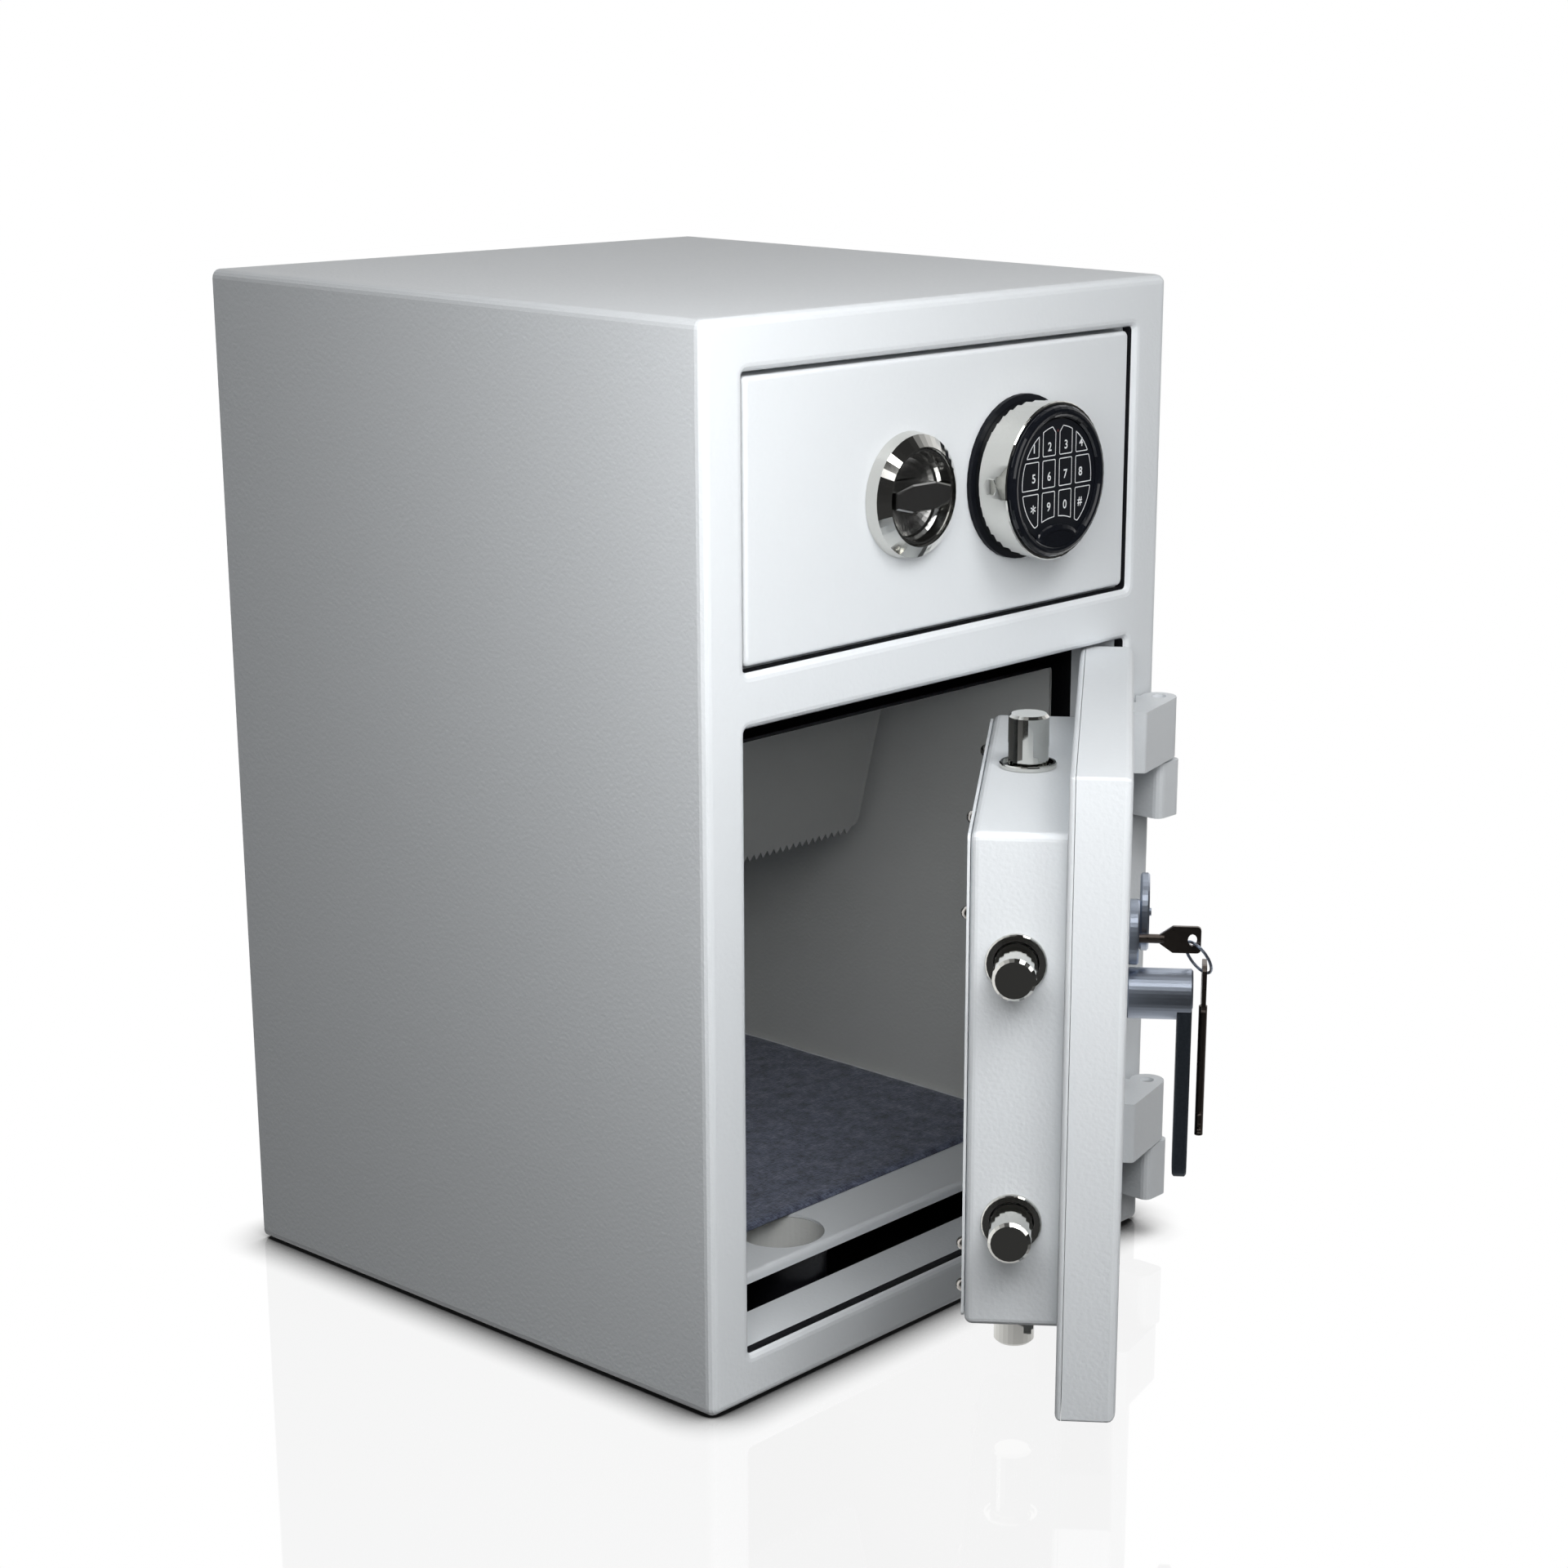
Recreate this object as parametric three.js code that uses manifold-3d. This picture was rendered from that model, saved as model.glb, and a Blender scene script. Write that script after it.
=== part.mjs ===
// Drop safe with a deposit drawer: folded cabinet, keypad drawer with a drop flap, and a swinging
// door with a lever, four throw bolts and a key lock. The scene is in millimetres, +Z is up and
// the front faces -Y; the origin is the centre of the base. At rest the door stands open.
import * as THREE from "three";
import { mergeVertices } from "three/addons/utils/BufferGeometryUtils.js";
import Module from "manifold-3d";

const wasm = await Module();
wasm.setup();

// Shared values: the gap between touching pieces, the overrun of cuts and the facet counts.
const gap = 0.3;
const overrun = 2;
const sharp = 0.2;
const facets = { corner: 4, roll: 4, rod: 24, bore: 28, dial: 44, hexagon: 6, wire: 8, ring: 28 };

// Cabinet
const body = { width: 380, depth: 380, height: 580, sheet: 3, edge: 5, fold: 8.5 };
const border = { side: 30, sill: 28, rail: 30, drawer: 150, head: 28, corner: 2 };
const rebate = { doorDeep: 40, drawerDeep: 30 };
const backPanel = { flange: 16, edge: 2 };
const baseBolt = { radius: 7, behind: 12.5 };

// Compartment
const liner = { beside: 12, below: 30, above: 22, setback: 70, behind: 25, sheet: 2, bend: 3 };
const pan = { setback: 40.5, sheet: 1.5, lip: 6, bend: 3, footStart: 6 };
const well = { radius: 25, wall: 1.5, foot: 29, footThick: 1.5 };
const felt = { beside: 5, setback: 12, behind: 3, thick: 3, corner: 3 };
const deck = { sheet: 2.6, flange: 15, front: 0.3 };
const chute = { beside: 53, setback: 160, behind: 85, wall: 1.5, flange: 12, corner: 6 };
const baffle = {
  before: 8.5, tilt: 14, drop: 115, sheet: 1.5, flange: 14, pitch: 5.8, tooth: 4.5, corner: 5,
};

// Drawer
const panel = { play: 2, inset: 2.5, sheet: 3, depth: 19.5, edge: 2.5, corner: 3 };
const tray = { beside: 20, lift: 5.3, deep: 92.7, behind: 40, wall: 1.2, bayDeep: 72, hem: 3, corner: 3 };
const runner = {
  web: 1.5, lift: 15, tall: 31, lip: 6.4, foot: 14, setback: 44, behind: 14, slideSetback: 7,
  slideBehind: 42,
  slideInset: 3, slideWeb: 1.2, slideLip: 4.6, play: 0.6,
};
const flap = {
  beside: 30, setback: 168, behind: 95, sheet: 1.4, barrel: 3, pin: 1.5, play: 0.5, earThick: 5,
  earHalf: 4.5,
  earHigh: 12, slotFront: 5.5,
};
const handle = {
  x: -34, lift: 76, base: 33.75, shoulder: 32.6, shoulderOut: 7.1, crest: 26.4, cup: 25.2, rim: 24,
  crestFlat: 0.5, proud: 11.6, rimSet: 1.6, bowl: 14, bowlDish: 6, wall: 3, spindle: 5, barHalf: 22,
  barMid: 7.45, barEnd: 4.4, barFlat: 9, barDepth: 14.6, barBevel: 0.8, barProud: 0.6,
};
const latch = { reach: 50, thick: 3, setback: 43.5, half: 8, hub: 11, keeperGap: 1, keeperThick: 3.5 };
const keeper = { half: 20, lift: 114, foot: 20, corner: 4 };
const keypad = {
  x: 60, gasket: 45.2, gasketThick: 2.8, base: 42, front: 43, depth: 22.5, edge: 0.6,
  bezelInner: 34.3, bezelHigh: 3.6, mat: 34, matThick: 1.6, cable: 8, recess: 1.2,
  badgeHalf: 12, badgeHigh: 4.4, badgeDeep: 0.8, badgeDrop: 31.5, surroundHalf: 18, surroundHigh: 8.2,
  surroundEdge: 1.4, button: 6.2, buttonTall: 3.4, buttonChamfer: 1.6,
};
const lockBox = { half: 32, below: 32, tall: 61, depth: 26, edge: 3 };

// Door, modelled shut and swung open about the hinge pin
const hinge = {
  beside: 15, before: 14, angle: 36.7, barrel: 10.5, pin: 4, pinPlay: 0.35, leafHalf: 10.5, leafCorner: 5,
  noseReach: 45, noseHigh: 8.8, noseRound: 2.5, clear: 0.5, pinEnd: 4, top: 2.2,
};
const leaves = {
  upperFrame: { below: 105.6, tall: 33.4 },
  upperDoor: { below: 70.2, tall: 36 },
  lowerFrame: { low: 25, tall: 35.3 },
  lowerDoor: { low: 61.5, tall: 37.1 },
};
const plate = {
  lockPlay: 3.5, hingePlay: 2.5, play: 1.5, inset: 1.5, deep: 31, edge: 4, corner: 1.5, sheet: 3, rear: 3,
};
const box = {
  lockInset: 16.5, hingeInset: 35.5, lowInset: 44.5, highInset: 33.5, deep: 48, wall: 2, edge: 4, corner: 4,
  relief: 2,
};
const cover = { inset: 2, dropped: 4, sheet: 1.4, corner: 3 };
const bolt = { radius: 11, chamfer: 1.5, behind: 24.5, play: 0.6 };
const guide = { radius: 15.5, high: 2.5, step: 13.6, stepHigh: 1.2 };
const throws = {
  sideOut: 29, sideIn: 22, fromHigh: 66.6, fromLow: 58, topOut: 29, topIn: 37, bottomOut: 42, bottomIn: 46,
};
const lever = {
  x: -32, heightShare: 0.5608365, hub: 13.7, stand: 35.5, spindle: 6, play: 0.5, chamfer: 1, thick: 8,
  long: 101.8,
  rootHalf: 12, tipHalf: 10, tipRound: 5, bevel: 1,
};
const cam = {
  behind: 14, thick: 3, arm: 30, pin: 2.5, slotEnd: 1, hub: 14, pad: 6.5, frontPin: 5.2, rearPin: 6,
};
const link = {
  tailBehind: 5, tailThick: 3, slotHalfLong: 12, slotHalfShort: 6.5, slotShift: -7.5, margin: 5,
  webBefore: 4.5, webThick: 2.5, flange: 3, webRise: 15, tailHalf: 8,
};
const lock = {
  lift: 30.5, discLift: 3.5, disc: 17.5, thick: 5.7, chamfer: 0.8, bore: 2.9, caseHalf: 25, caseBelow: 17,
  caseAbove: 38, caseDeep: 8, caseEdge: 2,
};
const swing = {
  radius: 21, thick: 5, right: 24, lift: 7.8, pivotRight: 11, pivotLift: 11.5, rivet: 2.2, chamfer: 1,
  seat: 0.3,
};
const key = {
  shaft: 2.5, tip: 14, shoulder: 17, bowStart: 24, bowEnd: 39, bowHalf: 7.3, thick: 2.4, hole: 3.3,
  holeLong: 2.5, holeBack: 4.6, neckHalf: 2.4, corner: 2.2,
};
const ring = { radius: 10, wire: 0.85, turn: 36, lean: 26 };
const spare = {
  seat: 1.8, long: 98, bowLong: 27, bowHalf: 9.2, thick: 2.4, shaft: 2.3, bitLong: 11, bitHalf: 5.4,
  bitThick: 1.6, hole: 5.2, notch: 2.4,
};

// Worked out from the sizes above
const front = -body.depth / 2;
const rear = body.depth / 2;
const side = body.width / 2;
const drawerTop = body.height - border.head;
const drawerway = {
  half: side - border.side, low: drawerTop - border.drawer, high: drawerTop, corner: border.corner,
};
const doorway = {
  half: side - border.side, low: border.sill, high: drawerway.low - border.rail, corner: border.corner,
};
Object.assign(liner, {
  half: side - liner.beside,
  ceiling: doorway.high - liner.below,
  floor: doorway.low + liner.above,
  front: front + liner.setback,
  back: rear - liner.behind,
});
pan.front = front + pan.setback;
Object.assign(felt, {
  half: liner.half - felt.beside,
  front: liner.front + felt.setback,
  back: liner.back - felt.behind,
});
Object.assign(chute, {
  half: liner.half - chute.beside,
  front: front + chute.setback,
  back: rear - chute.behind,
});
Object.assign(baffle, { half: chute.half, top: chute.front - baffle.before });
Object.assign(rebate, { doorBack: front + rebate.doorDeep, drawerBack: front + rebate.drawerDeep });
Object.assign(panel, {
  half: drawerway.half - panel.play,
  low: drawerway.low + panel.play,
  high: drawerway.high - panel.play,
});
Object.assign(tray, {
  half: drawerway.half - tray.beside,
  floor: drawerway.low + tray.lift,
  high: drawerway.low + tray.lift + tray.deep,
  back: rear - tray.behind,
  bay: front + tray.bayDeep,
});
Object.assign(runner, {
  low: drawerway.low + runner.lift,
  high: drawerway.low + runner.lift + runner.tall,
  front: front + runner.setback,
  back: rear - runner.behind,
  slideFront: front + runner.slideSetback,
  slideBack: rear - runner.slideBehind,
  slideLow: drawerway.low + runner.lift + runner.slideInset,
  slideHigh: drawerway.low + runner.lift + runner.tall - runner.slideInset,
});
Object.assign(flap, {
  half: tray.half - flap.beside,
  front: front + flap.setback,
  back: rear - flap.behind,
});
handle.z = drawerway.low + handle.lift;
latch.back = front + latch.setback;
keeper.low = drawerway.low + keeper.lift;
keypad.z = handle.z;
Object.assign(lockBox, { low: keypad.z - lockBox.below, high: keypad.z - lockBox.below + lockBox.tall });
Object.assign(plate, {
  left: -doorway.half + plate.lockPlay,
  right: doorway.half - plate.hingePlay,
  low: doorway.low + plate.play,
  high: doorway.high - plate.play,
  front: front + plate.inset,
  back: front + plate.inset + plate.deep,
});
Object.assign(hinge, {
  x: side - hinge.beside,
  y: front - hinge.before,
  leafBack: front - gap,
  leafLeft: side - hinge.beside - hinge.leafHalf,
  leafRight: side - hinge.beside + hinge.leafHalf,
  nose: side - hinge.beside - hinge.noseReach,
  margin: front - hinge.clear,
});
for (const leaf of [leaves.upperFrame, leaves.upperDoor]) leaf.low = doorway.high - leaf.below;
for (const [name, leaf] of Object.entries(leaves)) hinge[name] = [leaf.low, leaf.low + leaf.tall];
Object.assign(box, {
  left: plate.left + box.lockInset,
  right: plate.right - box.hingeInset,
  low: plate.low + box.lowInset,
  high: plate.high - box.highInset,
  back: plate.back + box.deep,
});
bolt.axis = plate.back + bolt.behind;
lever.z = box.low + (box.high - box.low) * lever.heightShare;
lever.tip = lever.z - lever.long;
cam.front = plate.back + cam.behind;
Object.assign(link, { tailFront: cam.front + link.tailBehind, webFront: cam.front - link.webBefore });
Object.assign(throws, {
  side: box.left - throws.sideOut,
  sideInner: box.left + throws.sideIn,
  upper: box.high - throws.fromHigh,
  lower: box.low + throws.fromLow,
  top: box.high + throws.topOut,
  topInner: box.high - throws.topIn,
  topX: lever.x + cam.arm,
  bottom: box.low - throws.bottomOut,
  bottomInner: box.low + throws.bottomIn,
  bottomX: lever.x - cam.arm,
});
Object.assign(baseBolt, { x: throws.bottomX, y: bolt.axis + baseBolt.behind });
Object.assign(lock, {
  x: lever.x,
  z: lever.z + lock.lift,
  discZ: lever.z + lock.lift + lock.discLift,
  caseLow: lever.z + lock.lift - lock.caseBelow,
  caseHigh: lever.z + lock.lift + lock.caseAbove,
  caseBack: plate.back + lock.caseDeep,
});
Object.assign(swing, {
  x: lock.x + swing.right,
  z: lock.z + swing.lift,
  pivotX: lock.x + swing.pivotRight,
  pivotZ: lock.z + swing.pivotLift,
});
const panelFace = front + panel.inset;
const baseTop = body.sheet + gap;
const innerSide = side - body.sheet - gap;
const deckTop = drawerway.low - body.sheet - gap;
const deckLow = deckTop - deck.sheet;
const handleCrest = panelFace - handle.proud;
const keypadBack = panelFace - gap - keypad.gasketThick - gap;
const keypadFace = keypadBack - keypad.depth;
const leverFace = plate.front - lever.stand;
const camBack = cam.front + cam.thick;

// Geometry helpers
const along = {
  x: (a, b, at) => [at, a, b],
  y: (a, b, at) => [a, at, b],
  z: (a, b, at) => [a, b, at],
};
const radians = THREE.MathUtils.degToRad;
const quarter = 90;
const fullTurn = 360;

// Rounded rectangle from four limits, counter-clockwise, with the same count of points at any size.
function roundedRect(left, right, low, high, radius) {
  const corners = [
    [right - radius, low + radius],
    [right - radius, high - radius],
    [left + radius, high - radius],
    [left + radius, low + radius],
  ];
  return corners.flatMap(([a, b], turn) =>
    Array.from({ length: facets.corner + 1 }, (_, step) => {
      const angle = radians(quarter * (turn - 1 + step / facets.corner));
      return [a + radius * Math.cos(angle), b + radius * Math.sin(angle)];
    }),
  );
}

function circle(radius, count = facets.rod, [a, b] = [0, 0]) {
  return Array.from({ length: count }, (_, step) => {
    const angle = radians((fullTurn * step) / count);
    return [a + radius * Math.cos(angle), b + radius * Math.sin(angle)];
  });
}

// Points on an arc, in degrees from one angle to another.
function arc([a, b], radius, from, to, steps = facets.corner) {
  return Array.from({ length: steps + 1 }, (_, step) => {
    const angle = radians(from + ((to - from) * step) / steps);
    return [a + radius * Math.cos(angle), b + radius * Math.sin(angle)];
  });
}

// Turn a closed triangle list so that it faces outwards.
function outward(positions, index) {
  const [p, q, r] = [new THREE.Vector3(), new THREE.Vector3(), new THREE.Vector3()];
  let volume = 0;
  for (let i = 0; i < index.length; i += 3) {
    p.fromArray(positions, 3 * index[i]);
    q.fromArray(positions, 3 * index[i + 1]);
    r.fromArray(positions, 3 * index[i + 2]);
    volume += p.dot(q.cross(r));
  }
  const facing = volume > 0 ? index : index.slice().reverse();
  const geometry = new THREE.BufferGeometry();
  geometry.setAttribute("position", new THREE.Float32BufferAttribute(positions, 3));
  geometry.setIndex(facing);
  return geometry;
}

// Skin a run of outlines, each at its own level on one axis, and close both ends.
function loft(given, axis) {
  const flat = given[0].outline.map(([a, b]) => new THREE.Vector2(a, b));
  const clockwise = THREE.ShapeUtils.isClockWise(flat);
  const facing = (outline) => (clockwise ? outline.toReversed() : outline);
  const levels = given.map(({ at, outline }) => ({ at, outline: facing(outline) }));
  const count = levels[0].outline.length;
  const positions = levels.flatMap(({ at, outline }) => outline.flatMap(([a, b]) => along[axis](a, b, at)));
  const index = [];
  for (let level = 0; level + 1 < levels.length; level++)
    for (let i = 0; i < count; i++) {
      const [a, b] = [level * count + i, level * count + ((i + 1) % count)];
      index.push(a, b, b + count, a, b + count, a + count);
    }
  [0, levels.length - 1].forEach((level, end) => {
    const outline = levels[level].outline.map(([a, b]) => new THREE.Vector2(a, b));
    THREE.ShapeUtils.triangulateShape(outline, []).forEach(([a, b, c]) => {
      const corners = end ? [a, b, c] : [a, c, b];
      index.push(...corners.map((corner) => level * count + corner));
    });
  });
  return outward(positions, index);
}

function prism(outline, from, to, axis) {
  return loft([{ at: from, outline }, { at: to, outline }], axis);
}

// Round bar with chamfered ends.
function rod(radius, from, to, axis, centre, count = facets.rod, chamfer = 0) {
  const trim = Math.sign(to - from) * chamfer;
  const levels = chamfer
    ? [
        { at: from, outline: circle(radius - chamfer, count, centre) },
        { at: from + trim, outline: circle(radius, count, centre) },
        { at: to - trim, outline: circle(radius, count, centre) },
        { at: to, outline: circle(radius - chamfer, count, centre) },
      ]
    : [
        { at: from, outline: circle(radius, count, centre) },
        { at: to, outline: circle(radius, count, centre) },
      ];
  return loft(levels, axis);
}

// Revolve a closed profile of [radius, level] points about an axis through a centre.
function turned(profile, axis, [a, b], count = facets.bore) {
  const points = [...profile, profile[0]].map(([radius, at]) => new THREE.Vector2(radius, at));
  const lathe = new THREE.LatheGeometry(points, count);
  const source = lathe.getAttribute("position");
  const positions = [];
  for (let i = 0; i < source.count; i++)
    positions.push(...along[axis](a + source.getX(i), b + source.getZ(i), source.getY(i)));
  return outward(positions, Array.from(lathe.index.array));
}

function solid(geometry) {
  const bare = new THREE.BufferGeometry();
  bare.setAttribute("position", geometry.getAttribute("position"));
  bare.setIndex(geometry.index);
  const merged = mergeVertices(bare, 1e-4);
  const kept = [];
  for (let i = 0; i < merged.index.count; i += 3) {
    const [a, b, c] = [0, 1, 2].map((corner) => merged.index.getX(i + corner));
    if (a !== b && b !== c && c !== a) kept.push(a, b, c);
  }
  return new wasm.Manifold(
    new wasm.Mesh({
      numProp: 3,
      vertProperties: merged.getAttribute("position").array,
      triVerts: new Uint32Array(kept),
    }),
  );
}

function surface(manifold) {
  const mesh = manifold.getMesh();
  const geometry = new THREE.BufferGeometry();
  geometry.setAttribute("position", new THREE.BufferAttribute(mesh.vertProperties, 3));
  geometry.setIndex(new THREE.BufferAttribute(mesh.triVerts, 1));
  return geometry;
}

const join = (...parts) => surface(wasm.Manifold.union(parts.map(solid)));
const cut = (part, ...tools) =>
  surface(tools.map(solid).reduce((left, tool) => left.subtract(tool), solid(part)));
const common = (part, tool) => surface(solid(part).intersect(solid(tool)));

const block = (left, right, near, far, low, high) =>
  prism(roundedRect(left, right, near, far, sharp), low, high, "z");

// Materials
const finish = (color, roughness, metalness) =>
  new THREE.MeshStandardMaterial({ color, roughness, metalness });
const paint = finish(0xe6e9ea, 0.55, 0);
const lining = finish(0xd9dad6, 0.6, 0);
const chrome = finish(0xd8dadc, 0.08, 1);
const satin = finish(0xaab0b8, 0.32, 1);
const slate = finish(0x2c3138, 0.4, 0.8);
const zinc = finish(0xb4b7b8, 0.45, 0.9);
const nickel = finish(0x5a534d, 0.3, 1);
const feltCloth = finish(0x3b4150, 1, 0);
const blackGloss = finish(0x07080a, 0.12, 0);
const blackMatte = finish(0x101114, 0.6, 0);

function piece(name, geometry, material, group) {
  const mesh = new THREE.Mesh(geometry, material);
  geometry.computeVertexNormals();
  mesh.name = name;
  group.add(mesh);
  return mesh;
}

// Cabinet

const openingOutline = ({ half, low, high, corner }, grow) =>
  roundedRect(-half - grow, half + grow, low - grow, high + grow, corner + grow);

// Levels of the edge that rolls in round an opening; offset picks the outer or inner face of the sheet.
function rolledLevels(opening, offset) {
  const bend = body.edge - offset;
  return Array.from({ length: facets.roll + 1 }, (_, step) => {
    const angle = radians(quarter * (1 - step / facets.roll));
    return {
      at: front + body.edge - bend * Math.sin(angle),
      outline: openingOutline(opening, body.edge - bend * Math.cos(angle)),
    };
  });
}

function outerShell() {
  const skin = (inset) =>
    roundedRect(-side + inset, side - inset, inset, body.height - inset, Math.max(body.edge - inset, sharp));
  const rolled = Array.from({ length: facets.roll + 1 }, (_, step) => {
    const angle = radians((quarter * step) / facets.roll);
    return {
      at: front + body.edge * (1 - Math.cos(angle)),
      outline: skin(body.edge * (1 - Math.sin(angle))),
    };
  });
  const wrap = loft([...rolled, { at: rear, outline: skin(0) }], "y");
  const hollow = prism(skin(body.sheet), front + body.sheet, rear + overrun, "y");
  const collar = (opening) => {
    const levels = rolledLevels(opening, body.sheet);
    const lap = { at: front + body.sheet / 2, outline: levels[0].outline };
    const end = { at: front + body.fold, outline: openingOutline(opening, body.sheet) };
    return loft([lap, ...levels, end], "y");
  };
  const flare = (opening) => {
    const levels = rolledLevels(opening, 0);
    const lead = { at: front - overrun, outline: levels[0].outline };
    const end = { at: front + body.fold + overrun, outline: openingOutline(opening, 0) };
    return loft([lead, ...levels, end], "y");
  };
  const openings = [doorway, drawerway];
  const boltHole = rod(baseBolt.radius, -overrun, body.sheet + overrun, "z", [baseBolt.x, baseBolt.y]);
  return cut(join(cut(wrap, hollow), ...openings.map(collar)), ...openings.map(flare), boltHole);
}

function backPan() {
  const rim = (inset) =>
    roundedRect(
      -innerSide + inset, innerSide - inset, baseTop + inset, body.height - baseTop - inset, backPanel.edge,
    );
  const folded = rear - backPanel.flange;
  return cut(
    prism(rim(0), folded, rear, "y"), prism(rim(body.sheet), folded - overrun, rear - body.sheet, "y"),
  );
}

// Ring behind a folded opening, with a flange welded across the cabinet at its rear end.
function rebateRing(opening, back, low, high) {
  const start = front + body.fold + gap;
  const flange = roundedRect(-innerSide, innerSide, low, high, opening.corner);
  const ringOuter = prism(openingOutline(opening, body.sheet), start, back, "y");
  const plateOuter = prism(flange, back - body.sheet, back, "y");
  return cut(
    join(ringOuter, plateOuter), prism(openingOutline(opening, 0), start - overrun, back + overrun, "y"),
  );
}

const chuteOutline = (grow) =>
  roundedRect(
    -chute.half - grow, chute.half + grow, chute.front - grow, chute.back + grow, chute.corner + grow,
  );

function linerWrap() {
  const outer = liner.half + liner.sheet;
  const top = liner.ceiling + liner.sheet;
  const arch = (half, high, bend) =>
    prism(
      roundedRect(-half, half, -liner.floor, high, bend), liner.front, liner.back + liner.sheet + gap, "y",
    );
  const inner = prism(
    roundedRect(-liner.half, liner.half, -liner.floor - overrun, liner.ceiling, liner.bend),
    liner.front - overrun, liner.back + liner.floor, "y",
  );
  const below = block(-side, side, front, rear, -body.height, baseTop);
  const dropHole = prism(chuteOutline(chute.wall + gap), liner.ceiling - overrun, top + overrun, "z");
  return cut(arch(outer, top, liner.bend + liner.sheet), inner, below, dropHole);
}

// Pan that carries the felt, with a rolled front lip and a hole over the bolt well.
function floorPan() {
  const half = liner.half - gap;
  const far = liner.back - gap;
  const under = liner.floor - pan.sheet;
  const bendAt = [pan.front + pan.bend, liner.floor - pan.bend];
  const section = [
    [pan.front, liner.floor - pan.lip],
    ...arc(bendAt, pan.bend, 2 * quarter, quarter),
    [far, liner.floor],
    [far, baseTop],
    [far - pan.sheet, baseTop],
    [far - pan.sheet, under],
    ...arc(bendAt, pan.bend - pan.sheet, quarter, 2 * quarter),
    [pan.front + pan.sheet, liner.floor - pan.lip],
  ];
  const feet = [-1, 1].map((hand) => {
    const [a, b] = [hand * half, hand * (half - pan.sheet)].sort((p, q) => p - q);
    return block(a, b, pan.front + pan.footStart, far, baseTop, under + pan.sheet / 2);
  });
  const hole = rod(
    well.radius, liner.floor - pan.lip, liner.floor + overrun, "z", [baseBolt.x, baseBolt.y], facets.dial,
  );
  return cut(join(prism(section, -half, half, "x"), ...feet), hole);
}

// Well under the pan that the bottom bolt drops into; the anchor bolt is reached through it.
function boltWell() {
  const outer = well.radius + well.wall;
  const top = liner.floor - pan.sheet - gap;
  const profile = [
    [well.radius, baseTop],
    [well.foot, baseTop],
    [well.foot, baseTop + well.footThick],
    [outer, baseTop + well.footThick],
    [outer, top],
    [well.radius, top],
  ];
  return turned(profile, "z", [baseBolt.x, baseBolt.y], facets.dial);
}

function feltMat() {
  const outline = roundedRect(-felt.half, felt.half, felt.front, felt.back, felt.corner);
  return prism(outline, liner.floor + gap, liner.floor + gap + felt.thick, "z");
}

function deckTray() {
  const near = rebate.doorBack + deck.front;
  const far = rear - backPanel.flange - gap;
  const flangeLow = deckTop - deck.flange;
  const hollow = block(
    -innerSide + deck.sheet, innerSide - deck.sheet, near - overrun, far + overrun, flangeLow - overrun,
    deckLow,
  );
  return cut(
    block(-innerSide, innerSide, near, far, flangeLow, deckTop), hollow,
    prism(chuteOutline(0), deckLow - overrun, deckTop + overrun, "z"),
  );
}

function dropChute() {
  const top = deckLow - gap;
  const tube = prism(chuteOutline(chute.wall), liner.ceiling, top, "z");
  const flange = prism(chuteOutline(chute.flange), top - chute.wall, top, "z");
  return cut(join(tube, flange), prism(chuteOutline(0), liner.ceiling - overrun, top + overrun, "z"));
}

// Hanging plate with a saw-tooth lower edge and rounded lower corners, leaning back as it goes down.
function sawToothBaffle() {
  const teeth = Math.floor((2 * (baffle.half - baffle.corner)) / baffle.pitch);
  const start = -(teeth * baffle.pitch) / 2;
  const low = -baffle.drop;
  const edge = Array.from({ length: teeth }, (_, tooth) => [
    [start + tooth * baffle.pitch, low + baffle.tooth],
    [start + (tooth + 1 / 2) * baffle.pitch, low],
  ]).flat();
  const outline = [
    [-baffle.half, 0],
    ...arc([-baffle.half + baffle.corner, low + baffle.tooth + baffle.corner], baffle.corner, 180, 270),
    ...edge,
    ...arc([baffle.half - baffle.corner, low + baffle.tooth + baffle.corner], baffle.corner, -90, 0),
    [baffle.half, 0],
  ];
  const sheet = prism(outline, 0, baffle.sheet, "y");
  sheet.rotateX(radians(baffle.tilt));
  const flangeTop = liner.ceiling - gap;
  sheet.translate(0, baffle.top, flangeTop);
  const flange = block(
    -baffle.half, baffle.half, baffle.top - baffle.flange, baffle.top + baffle.sheet,
    flangeTop - baffle.sheet,
    flangeTop,
  );
  const above = block(-side, side, front, rear, flangeTop, body.height);
  return cut(join(sheet, flange), above);
}

// Cabinet half of a drawer slide: a channel open towards the drawer, on a foot that stands on the deck.
function runnerProfile() {
  const inner = tray.half + gap + runner.slideLip + gap + runner.play;
  const outer = inner + runner.web;
  const near = outer - runner.lip;
  const foot = deckTop + gap;
  return [
    [near, runner.low], [inner, runner.low], [inner, foot + runner.web], [inner, foot],
    [outer + runner.foot, foot],
    [outer + runner.foot, foot + runner.web], [outer, foot + runner.web], [outer, runner.high],
    [near, runner.high], [near, runner.high - runner.web], [inner, runner.high - runner.web],
    [inner, runner.low + runner.web], [near, runner.low + runner.web],
  ];
}

function runnerRail(hand) {
  const outline = runnerProfile().map(([x, z]) => [hand * x, z]);
  return prism(outline, runner.front, runner.back, "y");
}

function slideRail(hand) {
  const near = tray.half + gap;
  const far = near + runner.slideLip;
  const web = near + runner.slideWeb;
  const outline = [
    [near, runner.slideLow], [far, runner.slideLow], [far, runner.slideLow + runner.slideWeb],
    [web, runner.slideLow + runner.slideWeb], [web, runner.slideHigh - runner.slideWeb],
    [far, runner.slideHigh - runner.slideWeb], [far, runner.slideHigh], [near, runner.slideHigh],
  ];
  return prism(outline.map(([x, z]) => [hand * x, z]), runner.slideFront, runner.slideBack, "y");
}

const keeperBack = latch.back - latch.thick - latch.keeperGap;

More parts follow.
